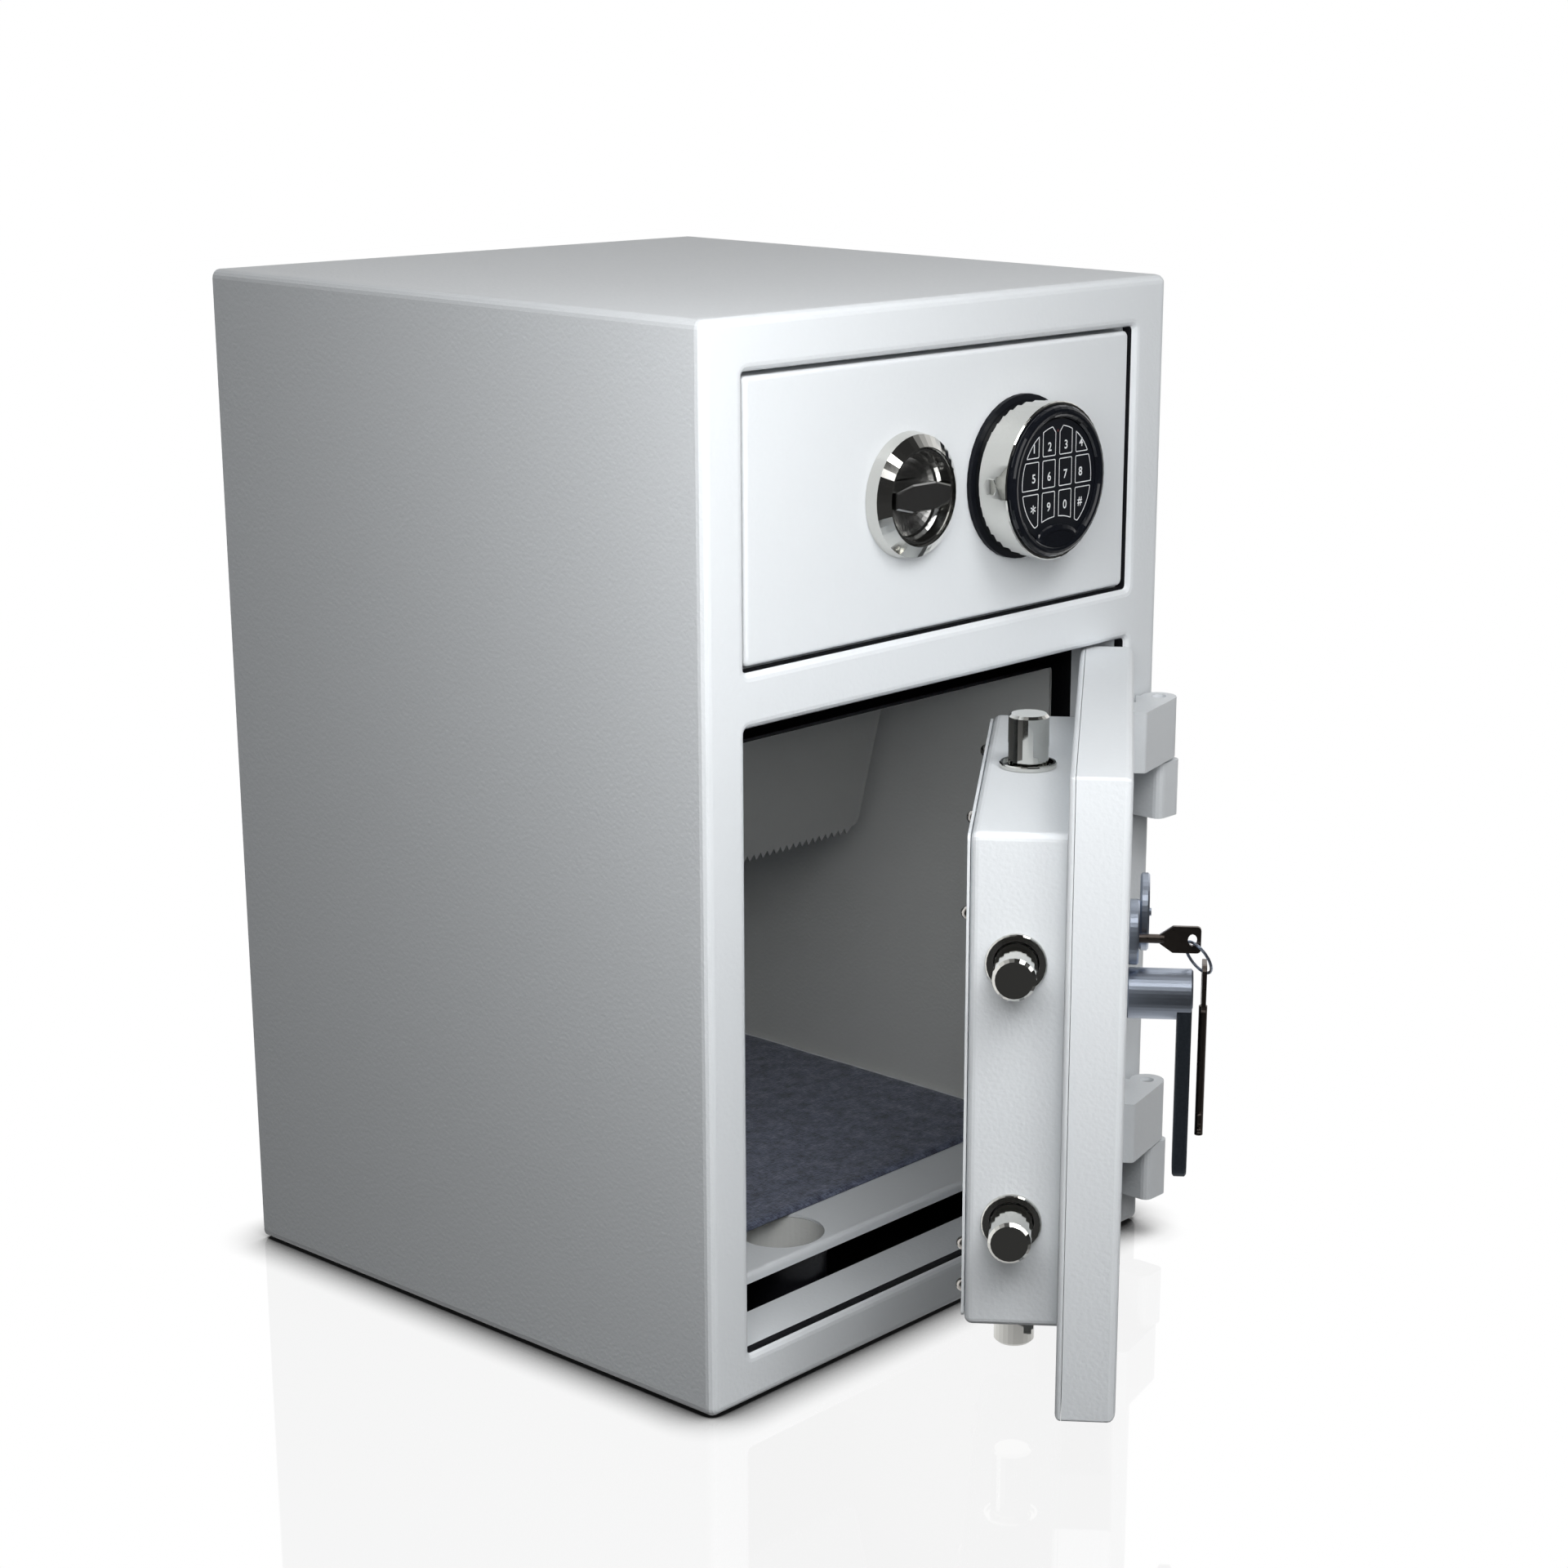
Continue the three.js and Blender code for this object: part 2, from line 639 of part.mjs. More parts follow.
function latchKeeper() {
  const [left, right] = [handle.x - keeper.half, handle.x + keeper.half];
  const top = body.height - baseTop;
  const hanger = prism(
    roundedRect(left, right, keeper.low, top, keeper.corner), keeperBack - latch.keeperThick, keeperBack,
    "y",
  );
  const foot = block(
    left, right, keeperBack - latch.keeperThick, keeperBack + keeper.foot, top - latch.keeperThick, top,
  );
  return join(hanger, foot);
}

// Hinges

function hingeBore(low, high) {
  return rod(
    hinge.pin + hinge.pinPlay, low - overrun, high + overrun, "z", [hinge.x, hinge.y], facets.rod,
  );
}

function frameLeaf([low, high]) {
  const outer = hinge.y - hinge.barrel;
  const outline = roundedRect(hinge.leafLeft, hinge.leafRight, outer, hinge.leafBack, hinge.leafCorner);
  return cut(prism(outline, low, high, "z"), hingeBore(low, high));
}

// Door half: a barrel whose tail slopes down to a rounded nose on the door plate.
function doorLeaf([low, high]) {
  const seat = plate.front - gap;
  const tailTop = hinge.nose + hinge.noseRound;
  const slope = Math.atan2(seat - hinge.noseHigh - (hinge.y - hinge.barrel), hinge.x - tailTop);
  const tangent = THREE.MathUtils.radToDeg(slope) - quarter;
  const outline = [
    [hinge.nose, seat],
    ...arc([tailTop, seat - hinge.noseHigh + hinge.noseRound], hinge.noseRound, 180, 250),
    ...arc([hinge.x, hinge.y], hinge.barrel, -quarter - Math.abs(quarter + tangent), quarter, facets.rod / 2),
    [hinge.x, hinge.margin],
    [plate.right, hinge.margin],
    [plate.right, seat],
  ];
  return cut(prism(outline, low, high, "z"), hingeBore(low, high));
}

function hingePin(frameSpan, doorSpan) {
  const low = Math.min(frameSpan[0], doorSpan[0]) + hinge.pinEnd;
  const high = Math.max(frameSpan[1], doorSpan[1]) - hinge.top;
  return rod(hinge.pin, low, high, "z", [hinge.x, hinge.y]);
}

// Drawer

function drawerFront() {
  const outline = (inset) =>
    roundedRect(
      -panel.half + inset, panel.half - inset, panel.low + inset, panel.high - inset, panel.corner,
    );
  const rolled = Array.from({ length: facets.roll + 1 }, (_, step) => {
    const angle = radians((quarter * step) / facets.roll);
    return {
      at: panelFace + panel.edge * (1 - Math.cos(angle)),
      outline: outline(panel.edge * (1 - Math.sin(angle))),
    };
  });
  const back = panelFace + panel.depth;
  const skin = loft([...rolled, { at: back, outline: outline(0) }], "y");
  const hollow = prism(outline(panel.sheet), panelFace + panel.sheet, back + overrun, "y");
  const through = (radius, { x, z }) =>
    rod(radius, panelFace - overrun, panelFace + panel.sheet + overrun, "y", [x, z], facets.dial);
  return cut(skin, hollow, through(handle.cup + overrun, handle), through(keypad.cable, keypad));
}

function drawerTray() {
  const near = panelFace + panel.sheet + gap;
  const shell = prism(
    roundedRect(-tray.half, tray.half, near, tray.back, tray.corner), tray.floor, tray.high, "z",
  );
  const wallIn = tray.half - tray.wall;
  const above = [tray.floor + tray.wall, tray.high + overrun];
  const pocket = (from, to) => prism(roundedRect(-wallIn, wallIn, from, to, tray.corner), ...above, "z");
  const bay = block(-wallIn, wallIn, near - overrun, tray.bay, ...above);
  const store = pocket(tray.bay + tray.wall, tray.back - tray.wall);
  const slot = block(
    -flap.half - flap.play, flap.half + flap.play, flap.front - flap.slotFront, flap.back + flap.play,
    tray.floor - overrun, tray.floor + tray.wall + overrun,
  );
  const ears = [-1, 1].map((hand) => {
    const [near0, far0] = [flap.half + flap.play, flap.half + flap.play + flap.earThick].map(
      (x) => hand * x,
    );
    const [left, right] = [near0, far0].sort((p, q) => p - q);
    return block(
      left, right, flap.front - flap.earHalf, flap.front + flap.earHalf, tray.floor,
      tray.floor + flap.earHigh,
    );
  });
  const bore = rod(flap.pin + gap, -side, side, "x", [flap.front, flapPinHeight], facets.rod);
  const bored = ears.map((ear) => cut(ear, bore));
  const hem = [-1, 1].map((hand) => {
    const [left, right] = [hand * (wallIn - tray.hem + tray.wall), hand * wallIn].sort((p, q) => p - q);
    return block(
      left - tray.wall / 2, right + tray.wall / 2, tray.bay, tray.back - tray.wall,
      tray.high - tray.wall, tray.high,
    );
  });
  return join(cut(shell, bay, store, slot), ...bored, ...hem);
}

const flapPinHeight = tray.floor + tray.wall + gap + flap.barrel;

function dropFlap() {
  const low = flapPinHeight - flap.barrel;
  const leaf = block(-flap.half, flap.half, flap.front, flap.back, low, low + flap.sheet);
  const barrel = rod(flap.barrel, -flap.half, flap.half, "x", [flap.front, flapPinHeight]);
  const bore = rod(flap.pin + gap, -side, side, "x", [flap.front, flapPinHeight], facets.rod);
  return cut(join(leaf, barrel), bore);
}

function flapPin() {
  const reach = flap.half + flap.play + flap.earThick;
  return rod(flap.pin, -reach, reach, "x", [flap.front, flapPinHeight]);
}

// Bezel with a steep side and a conical face that rises to the crest round the bowl.
function handleBezel() {
  const back = panelFace - gap;
  const bore = handle.cup + gap;
  const profile = [
    [bore, back],
    [handle.base, back],
    [handle.shoulder, panelFace - handle.shoulderOut],
    [handle.crest, handleCrest],
    [handle.crest - handle.crestFlat, handleCrest],
    [bore, handleCrest + handle.rimSet],
  ];
  return turned(profile, "y", [handle.x, handle.z], facets.dial);
}

const cupRim = handleCrest + handle.rimSet;
const cupBack = cupRim + handle.bowl + handle.wall;
const barFace = handleCrest - handle.barProud;
const barBack = barFace + handle.barDepth;

// Six-sided grip outline, its ends narrower than the middle; the ends lie in the bowl's wall.
function barOutline(grow) {
  const half = handle.barHalf + grow;
  const [mid, end] = [handle.barMid + grow, handle.barEnd + grow];
  const corners = [
    [half, -end], [half, end], [handle.barFlat, mid], [-handle.barFlat, mid], [-half, end], [-half, -end],
    [-handle.barFlat, -mid], [handle.barFlat, -mid],
  ];
  return corners.map(([a, b]) => [handle.x + a, handle.z + b]);
}

// Bowl that turns in the bezel: a straight wall above a dished bottom, and the spindle behind it.
function handleCup() {
  const dishSteps = facets.roll + 2;
  const floor = cupRim + handle.bowl;
  const dish = Array.from({ length: dishSteps + 1 }, (_, step) => {
    const angle = radians((quarter * step) / dishSteps);
    return [
      (handle.rim - handle.wall / 2) * Math.cos(angle), floor - handle.bowlDish * (1 - Math.sin(angle)),
    ];
  });
  const profile = [
    [handle.rim, cupRim],
    [handle.rim, floor - handle.bowlDish - handle.wall / 2],
    ...dish,
    [0, latch.back + gap],
    [handle.spindle, latch.back + gap],
    [handle.spindle, cupBack],
    [handle.cup - handle.wall, cupBack],
    [handle.cup, cupBack - handle.wall],
    [handle.cup, cupRim],
  ];
  const cup = turned(profile, "y", [handle.x, handle.z], facets.dial);
  return cut(cup, prism(barOutline(gap), barFace - overrun, barBack + gap, "y"));
}

function handleBar() {
  const levels = [
    { at: barFace, outline: barOutline(-handle.barBevel) },
    { at: barFace + handle.barBevel, outline: barOutline(0) },
    { at: barBack, outline: barOutline(0) },
  ];
  return loft(levels, "y");
}

function latchTongue() {
  const near = latch.back - latch.thick;
  const [left, right] = [handle.x - latch.reach, handle.x];
  const arm = prism(
    roundedRect(left, right, handle.z - latch.half, handle.z + latch.half, latch.half / 2), near,
    latch.back, "y",
  );
  const eye = rod(latch.hub, near, latch.back, "y", [handle.x, handle.z]);
  const bore = rod(handle.spindle + gap, near - overrun, latch.back + overrun, "y", [handle.x, handle.z]);
  return cut(join(arm, eye), bore);
}

function keypadHousing() {
  const face = keypadFace;
  const profile = [
    [0, keypadBack],
    [keypad.base, keypadBack],
    [keypad.front + keypad.edge / 2, face + keypad.edge],
    [keypad.front - keypad.edge / 2, face],
    [keypad.front - keypad.edge - keypad.edge, face],
    [keypad.front - keypad.edge - keypad.edge, face + keypad.recess],
    [0, face + keypad.recess],
  ];
  const dome = turned(profile, "y", [keypad.x, keypad.z], facets.dial);
  const buttonFrom = keypad.x - keypad.base - keypad.buttonTall / 4;
  const button = rod(
    keypad.button, buttonFrom, keypad.x - keypad.front + keypad.button, "x",
    [(keypadBack + face) / 2, keypad.z], facets.hexagon, keypad.buttonChamfer,
  );
  return join(dome, button);
}

const bezelOuter = keypad.front - keypad.edge * 2 - gap;
const bezelBack = keypadFace + keypad.recess - gap;
const matFace = bezelBack - keypad.matThick;
const surroundFace = bezelBack - keypad.bezelHigh;

const badgeOval = (grow, half = keypad.badgeHalf, high = keypad.badgeHigh) =>
  circle(1, facets.rod).map(([a, b]) => [
    keypad.x + a * (half + grow),
    keypad.z - keypad.badgeDrop + b * (high + grow),
  ]);

// Glossy ring with a rounded crown; below the keys it swells into an oval that holds a plain plate.
function keypadBezel() {
  const middle = (bezelOuter + keypad.bezelInner) / 2;
  const half = (bezelOuter - keypad.bezelInner) / 2;
  const crown = Array.from({ length: facets.roll * 2 + 1 }, (_, step) => {
    const angle = radians((2 * quarter * step) / (facets.roll * 2));
    return [middle + half * Math.cos(angle), bezelBack - keypad.edge - keypad.bezelHigh * Math.sin(angle)];
  });
  const ringProfile = [[keypad.bezelInner, bezelBack], [bezelOuter, bezelBack], ...crown];
  const crownRing = turned(ringProfile, "y", [keypad.x, keypad.z], facets.dial);
  const oval = (grow) => badgeOval(grow, keypad.surroundHalf, keypad.surroundHigh);
  const swell = loft(
    [
      { at: matFace - gap, outline: oval(0) },
      { at: surroundFace + keypad.surroundEdge / 2, outline: oval(-keypad.surroundEdge / 2) },
      { at: surroundFace, outline: oval(-keypad.surroundEdge * 2) },
    ],
    "y",
  );
  return cut(
    join(crownRing, swell),
    prism(badgeOval(gap), surroundFace - overrun, surroundFace + keypad.badgeDeep, "y"),
  );
}

function keypadMat() {
  return rod(keypad.mat, bezelBack, matFace, "y", [keypad.x, keypad.z], facets.dial);
}

function keypadBadge() {
  return prism(badgeOval(0), surroundFace, surroundFace + keypad.badgeDeep - gap, "y");
}

function electronicLock() {
  const near = panelFace + panel.sheet + gap;
  const outline = roundedRect(
    keypad.x - lockBox.half, keypad.x + lockBox.half, lockBox.low, lockBox.high, lockBox.edge,
  );
  return prism(outline, near, near + lockBox.depth, "y");
}

// Door

const plateOutline = (inset) =>
  roundedRect(plate.left + inset, plate.right - inset, plate.low + inset, plate.high - inset, plate.corner);

function edgeLevels(face, inwards, radius) {
  return Array.from({ length: facets.roll + 1 }, (_, step) => {
    const angle = radians((quarter * step) / facets.roll);
    return {
      at: face + inwards * radius * (1 - Math.cos(angle)),
      outline: plateOutline(radius * (1 - Math.sin(angle))),
    };
  });
}

const doorBore = (radius) =>
  rod(radius + lever.play, plate.front - overrun, box.back, "y", [lever.x, lever.z]);
const lockBore = () => rod(lock.bore, plate.front - overrun, plate.back + overrun, "y", [lock.x, lock.z]);
const plateSeam = plate.back - plate.rear;

function doorPan() {
  const skin = loft(
    [...edgeLevels(plate.front, 1, plate.edge), { at: plateSeam - gap, outline: plateOutline(0) }], "y",
  );
  const hollow = prism(plateOutline(plate.sheet), plate.front + plate.sheet, plateSeam + overrun, "y");
  return cut(skin, hollow, doorBore(lever.spindle), lockBore());
}

function doorBack() {
  const radius = plate.rear - sharp;
  const skin = loft(
    [...edgeLevels(plate.back, -1, radius), { at: plateSeam, outline: plateOutline(0) }], "y",
  );
  return cut(skin, doorBore(lever.spindle), lockBore());
}

const boxOutline = (inset) =>
  roundedRect(
    box.left + inset, box.right - inset, box.low + inset, box.high - inset,
    Math.max(box.corner - inset, sharp),
  );
const boxFront = plate.back + gap;
const boltAxes = [
  { name: "side_upper", axis: "x", centre: [bolt.axis, throws.upper], face: box.left },
  { name: "side_lower", axis: "x", centre: [bolt.axis, throws.lower], face: box.left },
  { name: "top", axis: "z", centre: [throws.topX, bolt.axis], face: box.high },
  { name: "bottom", axis: "z", centre: [throws.bottomX, bolt.axis], face: box.low },
];
const outwards = ({ face }) => (face === box.left || face === box.low ? -1 : 1);

function boltBox() {
  const rolled = Array.from({ length: facets.roll + 1 }, (_, step) => {
    const angle = radians((quarter * step) / facets.roll);
    return {
      at: box.back - box.edge * (1 - Math.cos(angle)),
      outline: boxOutline(box.edge * (1 - Math.sin(angle))),
    };
  });
  const skin = loft([...rolled, { at: boxFront, outline: boxOutline(0) }], "y");
  const hollow = prism(boxOutline(box.wall), boxFront - overrun, box.back - box.wall, "y");
  const bores = boltAxes.map((each) =>
    rod(
      bolt.radius + bolt.play, each.face + outwards(each) * overrun,
      each.face - outwards(each) * (box.wall + overrun),
      each.axis, each.centre,
    ),
  );
  const relief = rod(
    box.relief, boxFront - overrun, box.back + overrun, "y", [(box.left + box.right) / 2, box.low],
    facets.wire,
  );
  const reliefBand = block(
    box.left, box.right, (boxFront + box.back) / 2, box.back + overrun, box.low - overrun,
    box.low + box.relief * 2,
  );
  return cut(skin, hollow, ...bores, common(relief, reliefBand));
}

function boxCover() {
  const outline = roundedRect(
    box.left + cover.inset, box.right - cover.inset, box.low + cover.dropped, box.high - cover.inset,
    cover.corner,
  );
  return prism(outline, box.back + gap, box.back + gap + cover.sheet, "y");
}

function boltGuide(each) {
  const sign = outwards(each);
  const seat = each.face + sign * gap;
  const bore = bolt.radius + bolt.play;
  const profile = [
    [bore, seat],
    [guide.radius, seat],
    [guide.radius, seat + sign * (guide.high - guide.stepHigh / 2)],
    [guide.radius - guide.stepHigh / 2, seat + sign * guide.high],
    [guide.step, seat + sign * guide.high],
    [guide.step, seat + sign * guide.stepHigh],
    [bore, seat + sign * guide.stepHigh],
  ];
  return turned(profile, each.axis, each.centre, facets.bore);
}

const boltRod = (from, to, axis, centre) => rod(
  bolt.radius, from, to, axis, centre, facets.rod, bolt.chamfer,
);

// Flat tail of a vertical bolt, with the slot that its cam pin works in.
function verticalBolt(x, tip, inner, hand) {
  const up = Math.sign(tip - inner);
  const cylinder = boltRod(tip, inner, "z", [x, bolt.axis]);
  const slotMid = x + hand * link.slotShift;
  const reach = link.slotHalfLong + link.margin;
  const slotEdge = lever.z - up * (link.slotHalfShort + link.margin);
  const tailTo = inner + up * bolt.radius;
  const far = [link.tailFront, link.tailFront + link.tailThick];
  const eye = prism(
    roundedRect(
      slotMid - reach, slotMid + reach, lever.z - link.slotHalfShort - link.margin,
      lever.z + link.slotHalfShort + link.margin, link.margin,
    ),
    ...far, "y",
  );
  const [low, high] = [slotEdge + up * link.margin, tailTo].sort((p, q) => p - q);
  const stem = prism(roundedRect(x - link.tailHalf, x + link.tailHalf, low, high, sharp), ...far, "y");
  const slot = prism(
    roundedRect(
      slotMid - link.slotHalfLong, slotMid + link.slotHalfLong, lever.z - link.slotHalfShort,
      lever.z + link.slotHalfShort, link.slotHalfShort - sharp,
    ),
    far[0] - overrun, far[1] + overrun, "y",
  );
  return cut(join(cylinder, eye, stem), slot);
}

// Bracket that carries both side bolts: a flange behind the bolts and a slotted arm to the cam.
function sideCarriage() {
  const back = link.webFront + link.webThick;
  const left = throws.sideInner + gap;
  const flange = block(
    left, left + link.flange, link.webFront, bolt.axis + bolt.radius, throws.lower - bolt.radius,
    throws.upper + bolt.radius,
  );
  const slotMid = lever.z + (link.webRise + cam.arm) / 2;
  const slotHigh = (cam.arm - link.webRise) / 2 + cam.pin + cam.slotEnd;
  const grown = [link.slotHalfShort + link.margin, slotHigh + link.margin / 2];
  const slotX = lever.x;
  const eye = roundedRect(
    slotX - grown[0], slotX + grown[0], slotMid - grown[1], slotMid + grown[1], link.margin,
  );
  const arm = roundedRect(left, slotX, slotMid - grown[1], slotMid + grown[1], sharp);
  const slot = roundedRect(
    slotX - link.slotHalfShort, slotX + link.slotHalfShort, slotMid - slotHigh, slotMid + slotHigh,
    link.slotHalfShort - sharp,
  );
  const web = [eye, arm].map((outline) => prism(outline, link.webFront, back, "y"));
  return cut(join(flange, ...web), prism(slot, link.webFront - overrun, back + overrun, "y"));
}

// Cam plate with three arms; the side arm's pin points forwards, the others to the rear.
function leverCam() {
  const arms = [
    { angle: quarter, to: cam.front - cam.frontPin },
    { angle: 0, to: camBack + cam.rearPin },
    { angle: 2 * quarter, to: camBack + cam.rearPin },
  ];
  const middle = (cam.front + camBack) / 2;
  const parts = arms.flatMap(({ angle, to }) => {
    const place = [
      lever.x + cam.arm * Math.cos(radians(angle)),
      lever.z + cam.arm * Math.sin(radians(angle)),
    ];
    const web = block(0, cam.arm, -cam.pad, cam.pad, cam.front, camBack);
    web.rotateX(radians(quarter));
    web.translate(0, cam.front + camBack, 0);
    web.rotateY(radians(-angle));
    web.translate(lever.x, 0, lever.z);
    return [
      web,
      rod(cam.pad, cam.front, camBack, "y", place),
      rod(cam.pin, middle, to, "y", place, facets.rod / 2),
    ];
  });
  const hub = rod(cam.hub, cam.front, camBack, "y", [lever.x, lever.z]);
  const bore = rod(lever.spindle + gap, cam.front - overrun, camBack + overrun, "y", [lever.x, lever.z]);
  return cut(join(hub, ...parts), bore);
}

function leverHub() {
  const seat = plate.front - gap;
  const grip = rod(lever.hub, seat, leverFace, "y", [lever.x, lever.z], facets.dial, lever.chamfer);
  const spindle = rod(lever.spindle, seat - lever.thick, camBack + lever.chamfer, "y", [lever.x, lever.z]);
  return cut(join(grip, spindle), bladeSolid(gap));
}

// Bar that hangs from a socket in the hub and narrows to a rounded tip.
function bladeSolid(grow) {
  const top = lever.z + grow;
  const outline = [
    [lever.x + lever.rootHalf + grow, top],
    [lever.x - lever.rootHalf - grow, top],
    ...arc([lever.x - lever.tipHalf + lever.tipRound, lever.tip + lever.tipRound], lever.tipRound + grow, 180, 270),
    ...arc([lever.x + lever.tipHalf - lever.tipRound, lever.tip + lever.tipRound], lever.tipRound + grow, 270, 360),
  ];
  const inset = ([a, b], by) => {
    const [dx, dz] = [a - lever.x, b - (top + lever.tip) / 2];
    return [a - Math.sign(dx) * by, b - Math.sign(dz) * by];
  };
  const outer = leverFace + gap - grow;
  const inner = leverFace + lever.thick + grow;
  const small = outline.map((point) => inset(point, lever.bevel));
  return loft(
    [
      { at: outer - (grow ? overrun : 0), outline: grow ? outline : small },
      { at: outer + lever.bevel, outline },
      { at: inner - lever.bevel, outline },
      { at: inner, outline: grow ? outline : small },
    ],
    "y",
  );
}

// Key lock

function escutcheon() {
  const seat = plate.front - gap;
  const disc = rod(lock.disc, seat, seat - lock.thick, "y", [lock.x, lock.discZ], facets.dial, lock.chamfer);
  return cut(disc, rod(lock.bore, seat + overrun, seat - lock.thick - overrun, "y", [lock.x, lock.z]));
}

function lockCase() {
  const outline = roundedRect(
    lock.x - lock.caseHalf, lock.x + lock.caseHalf, lock.caseLow, lock.caseHigh, lock.caseEdge,
  );
  return prism(outline, plate.back + gap, lock.caseBack, "y");
}

function keyCover() {
  const seat = plate.front - gap - lock.thick - swing.seat;
  const disc = rod(
    swing.radius, seat, seat - swing.thick, "y", [swing.x, swing.z], facets.dial, swing.chamfer,
  );
  const rivet = rod(
    swing.rivet, seat - swing.thick / 2, seat - swing.thick - swing.chamfer, "y",
    [swing.pivotX, swing.pivotZ],
    facets.rod / 2,
  );
  return join(disc, rivet);
}

// Key in its lock: round shank, flat bow with chamfered shoulders and an oval hole for the ring.
function lockKey() {
  const at = (out) => plate.front - out;
  const shank = rod(
    key.shaft, at(key.shoulder + key.neckHalf), at(-key.tip), "y", [lock.x, lock.z], facets.rod / 2,
  );
  const bow = [
    [at(key.shoulder), lock.z - key.neckHalf],
    [at(key.bowStart), lock.z - key.bowHalf],
    ...arc([at(key.bowEnd - key.corner), lock.z - key.bowHalf + key.corner], key.corner, -quarter, -2 * quarter),
    ...arc([at(key.bowEnd - key.corner), lock.z + key.bowHalf - key.corner], key.corner, 2 * quarter, quarter),
    [at(key.bowStart), lock.z + key.bowHalf],
    [at(key.shoulder), lock.z + key.neckHalf],
  ];
  const flat = prism(bow, lock.x - key.thick / 2, lock.x + key.thick / 2, "x");
  const holeAt = [at(key.bowEnd - key.holeBack), lock.z];
  const hole = prism(
    circle(1, facets.rod / 2).map(([a, b]) => [holeAt[0] + a * key.holeLong, holeAt[1] + b * key.hole]),
    lock.x - key.thick, lock.x + key.thick, "x",
  );
  return cut(join(shank, flat), hole);
}

// The ring hangs from the hole in the bow, turned in plan and leaning out so that it clears the hub.
const ringTop = {
  x: lock.x,
  y: plate.front - key.bowEnd + key.holeBack,
  z: lock.z - key.hole + ring.wire + 3 * gap,
};
const ringReach = 2 * ring.radius * Math.sin(radians(ring.lean));
const ringLow = {
  x: ringTop.x + ringReach * Math.sin(radians(ring.turn)),
  y: ringTop.y - ringReach * Math.cos(radians(ring.turn)),
  z: ringTop.z - 2 * ring.radius * Math.cos(radians(ring.lean)),
};

function keyRing() {
  const wireRing = new THREE.TorusGeometry(ring.radius, ring.wire, facets.wire, facets.ring);
  wireRing.rotateX(radians(quarter));
  wireRing.translate(0, 0, -ring.radius);
  wireRing.rotateX(radians(-ring.lean));
  wireRing.rotateZ(radians(ring.turn));
  wireRing.translate(ringTop.x, ringTop.y, ringTop.z);
  return outward(Array.from(wireRing.getAttribute("position").array), Array.from(wireRing.index.array));
}

// Spare key: a double-bitted shank below a plain bow that hangs on the ring.
function spareKey() {
  const holeZ = ringLow.z - spare.seat;
  const top = holeZ + spare.hole + spare.notch;
  const [x, y] = [ringLow.x, ringLow.y];
  const bowLow = top - spare.bowLong;
  const flatOutline = roundedRect(x - spare.bowHalf, x + spare.bowHalf, bowLow, top, key.corner * 2);
  const flat = prism(flatOutline, y - spare.thick / 2, y + spare.thick / 2, "y");
  const tip = top - spare.long;
  const shank = rod(spare.shaft, bowLow + spare.notch, tip, "z", [x, y], facets.rod / 2);
  const bit = (low, high) => {
    const outline = roundedRect(x - spare.bitHalf, x + spare.bitHalf, low, high, spare.bitThick / 2);
    return prism(outline, y - spare.bitThick / 2, y + spare.bitThick / 2, "y");
  };
  const bitLow = tip + spare.notch;
  const bits = [bit(bitLow, bitLow + spare.notch), bit(bitLow + spare.notch * 2, bitLow + spare.bitLong)];
  const hole = rod(spare.hole, y - spare.thick, y + spare.thick, "y", [x, holeZ], facets.rod);
  return cut(join(flat, shank, ...bits), hole);
}

// Scene graph

const safe = new THREE.Group();
safe.name = "drop_safe";
const cabinet = new THREE.Group();
const drawer = new THREE.Group();
const door = new THREE.Group();
door.position.set(hinge.x, hinge.y, 0);
door.rotation.z = radians(hinge.angle);
const shut = new THREE.Group();
shut.position.set(-hinge.x, -hinge.y, 0);
door.add(shut);
safe.add(cabinet, drawer, door);

piece("outer_shell", outerShell(), paint, cabinet);
piece("back_panel", backPan(), paint, cabinet);
const flangeTop = body.height - baseTop;
piece("door_rebate", rebateRing(doorway, rebate.doorBack, baseTop, deckTop), paint, cabinet);
piece(
  "drawer_rebate", rebateRing(drawerway, rebate.drawerBack, drawerway.low - body.sheet, flangeTop),
  paint, cabinet,
);
piece("liner_wrap", linerWrap(), lining, cabinet);
piece(
  "liner_back",
  prism(
    roundedRect(-liner.half + gap, liner.half - gap, baseTop, liner.ceiling - gap, liner.bend), liner.back,
    liner.back + liner.sheet, "y",
  ),
  lining, cabinet,
);
piece("floor_pan", floorPan(), lining, cabinet);
piece("bolt_well", boltWell(), lining, cabinet);
piece("felt_mat", feltMat(), feltCloth, cabinet);
piece("drawer_deck", deckTray(), zinc, cabinet);
piece("drop_chute", dropChute(), lining, cabinet);
piece("saw_tooth_baffle", sawToothBaffle(), lining, cabinet);
piece("runner_left", runnerRail(-1), zinc, cabinet);
piece("runner_right", runnerRail(1), zinc, cabinet);
piece("latch_keeper", latchKeeper(), zinc, cabinet);
piece("frame_hinge_upper", frameLeaf(hinge.upperFrame), paint, cabinet);
piece("frame_hinge_lower", frameLeaf(hinge.lowerFrame), paint, cabinet);
piece("hinge_pin_upper", hingePin(hinge.upperFrame, hinge.upperDoor), zinc, cabinet);
piece("hinge_pin_lower", hingePin(hinge.lowerFrame, hinge.lowerDoor), zinc, cabinet);

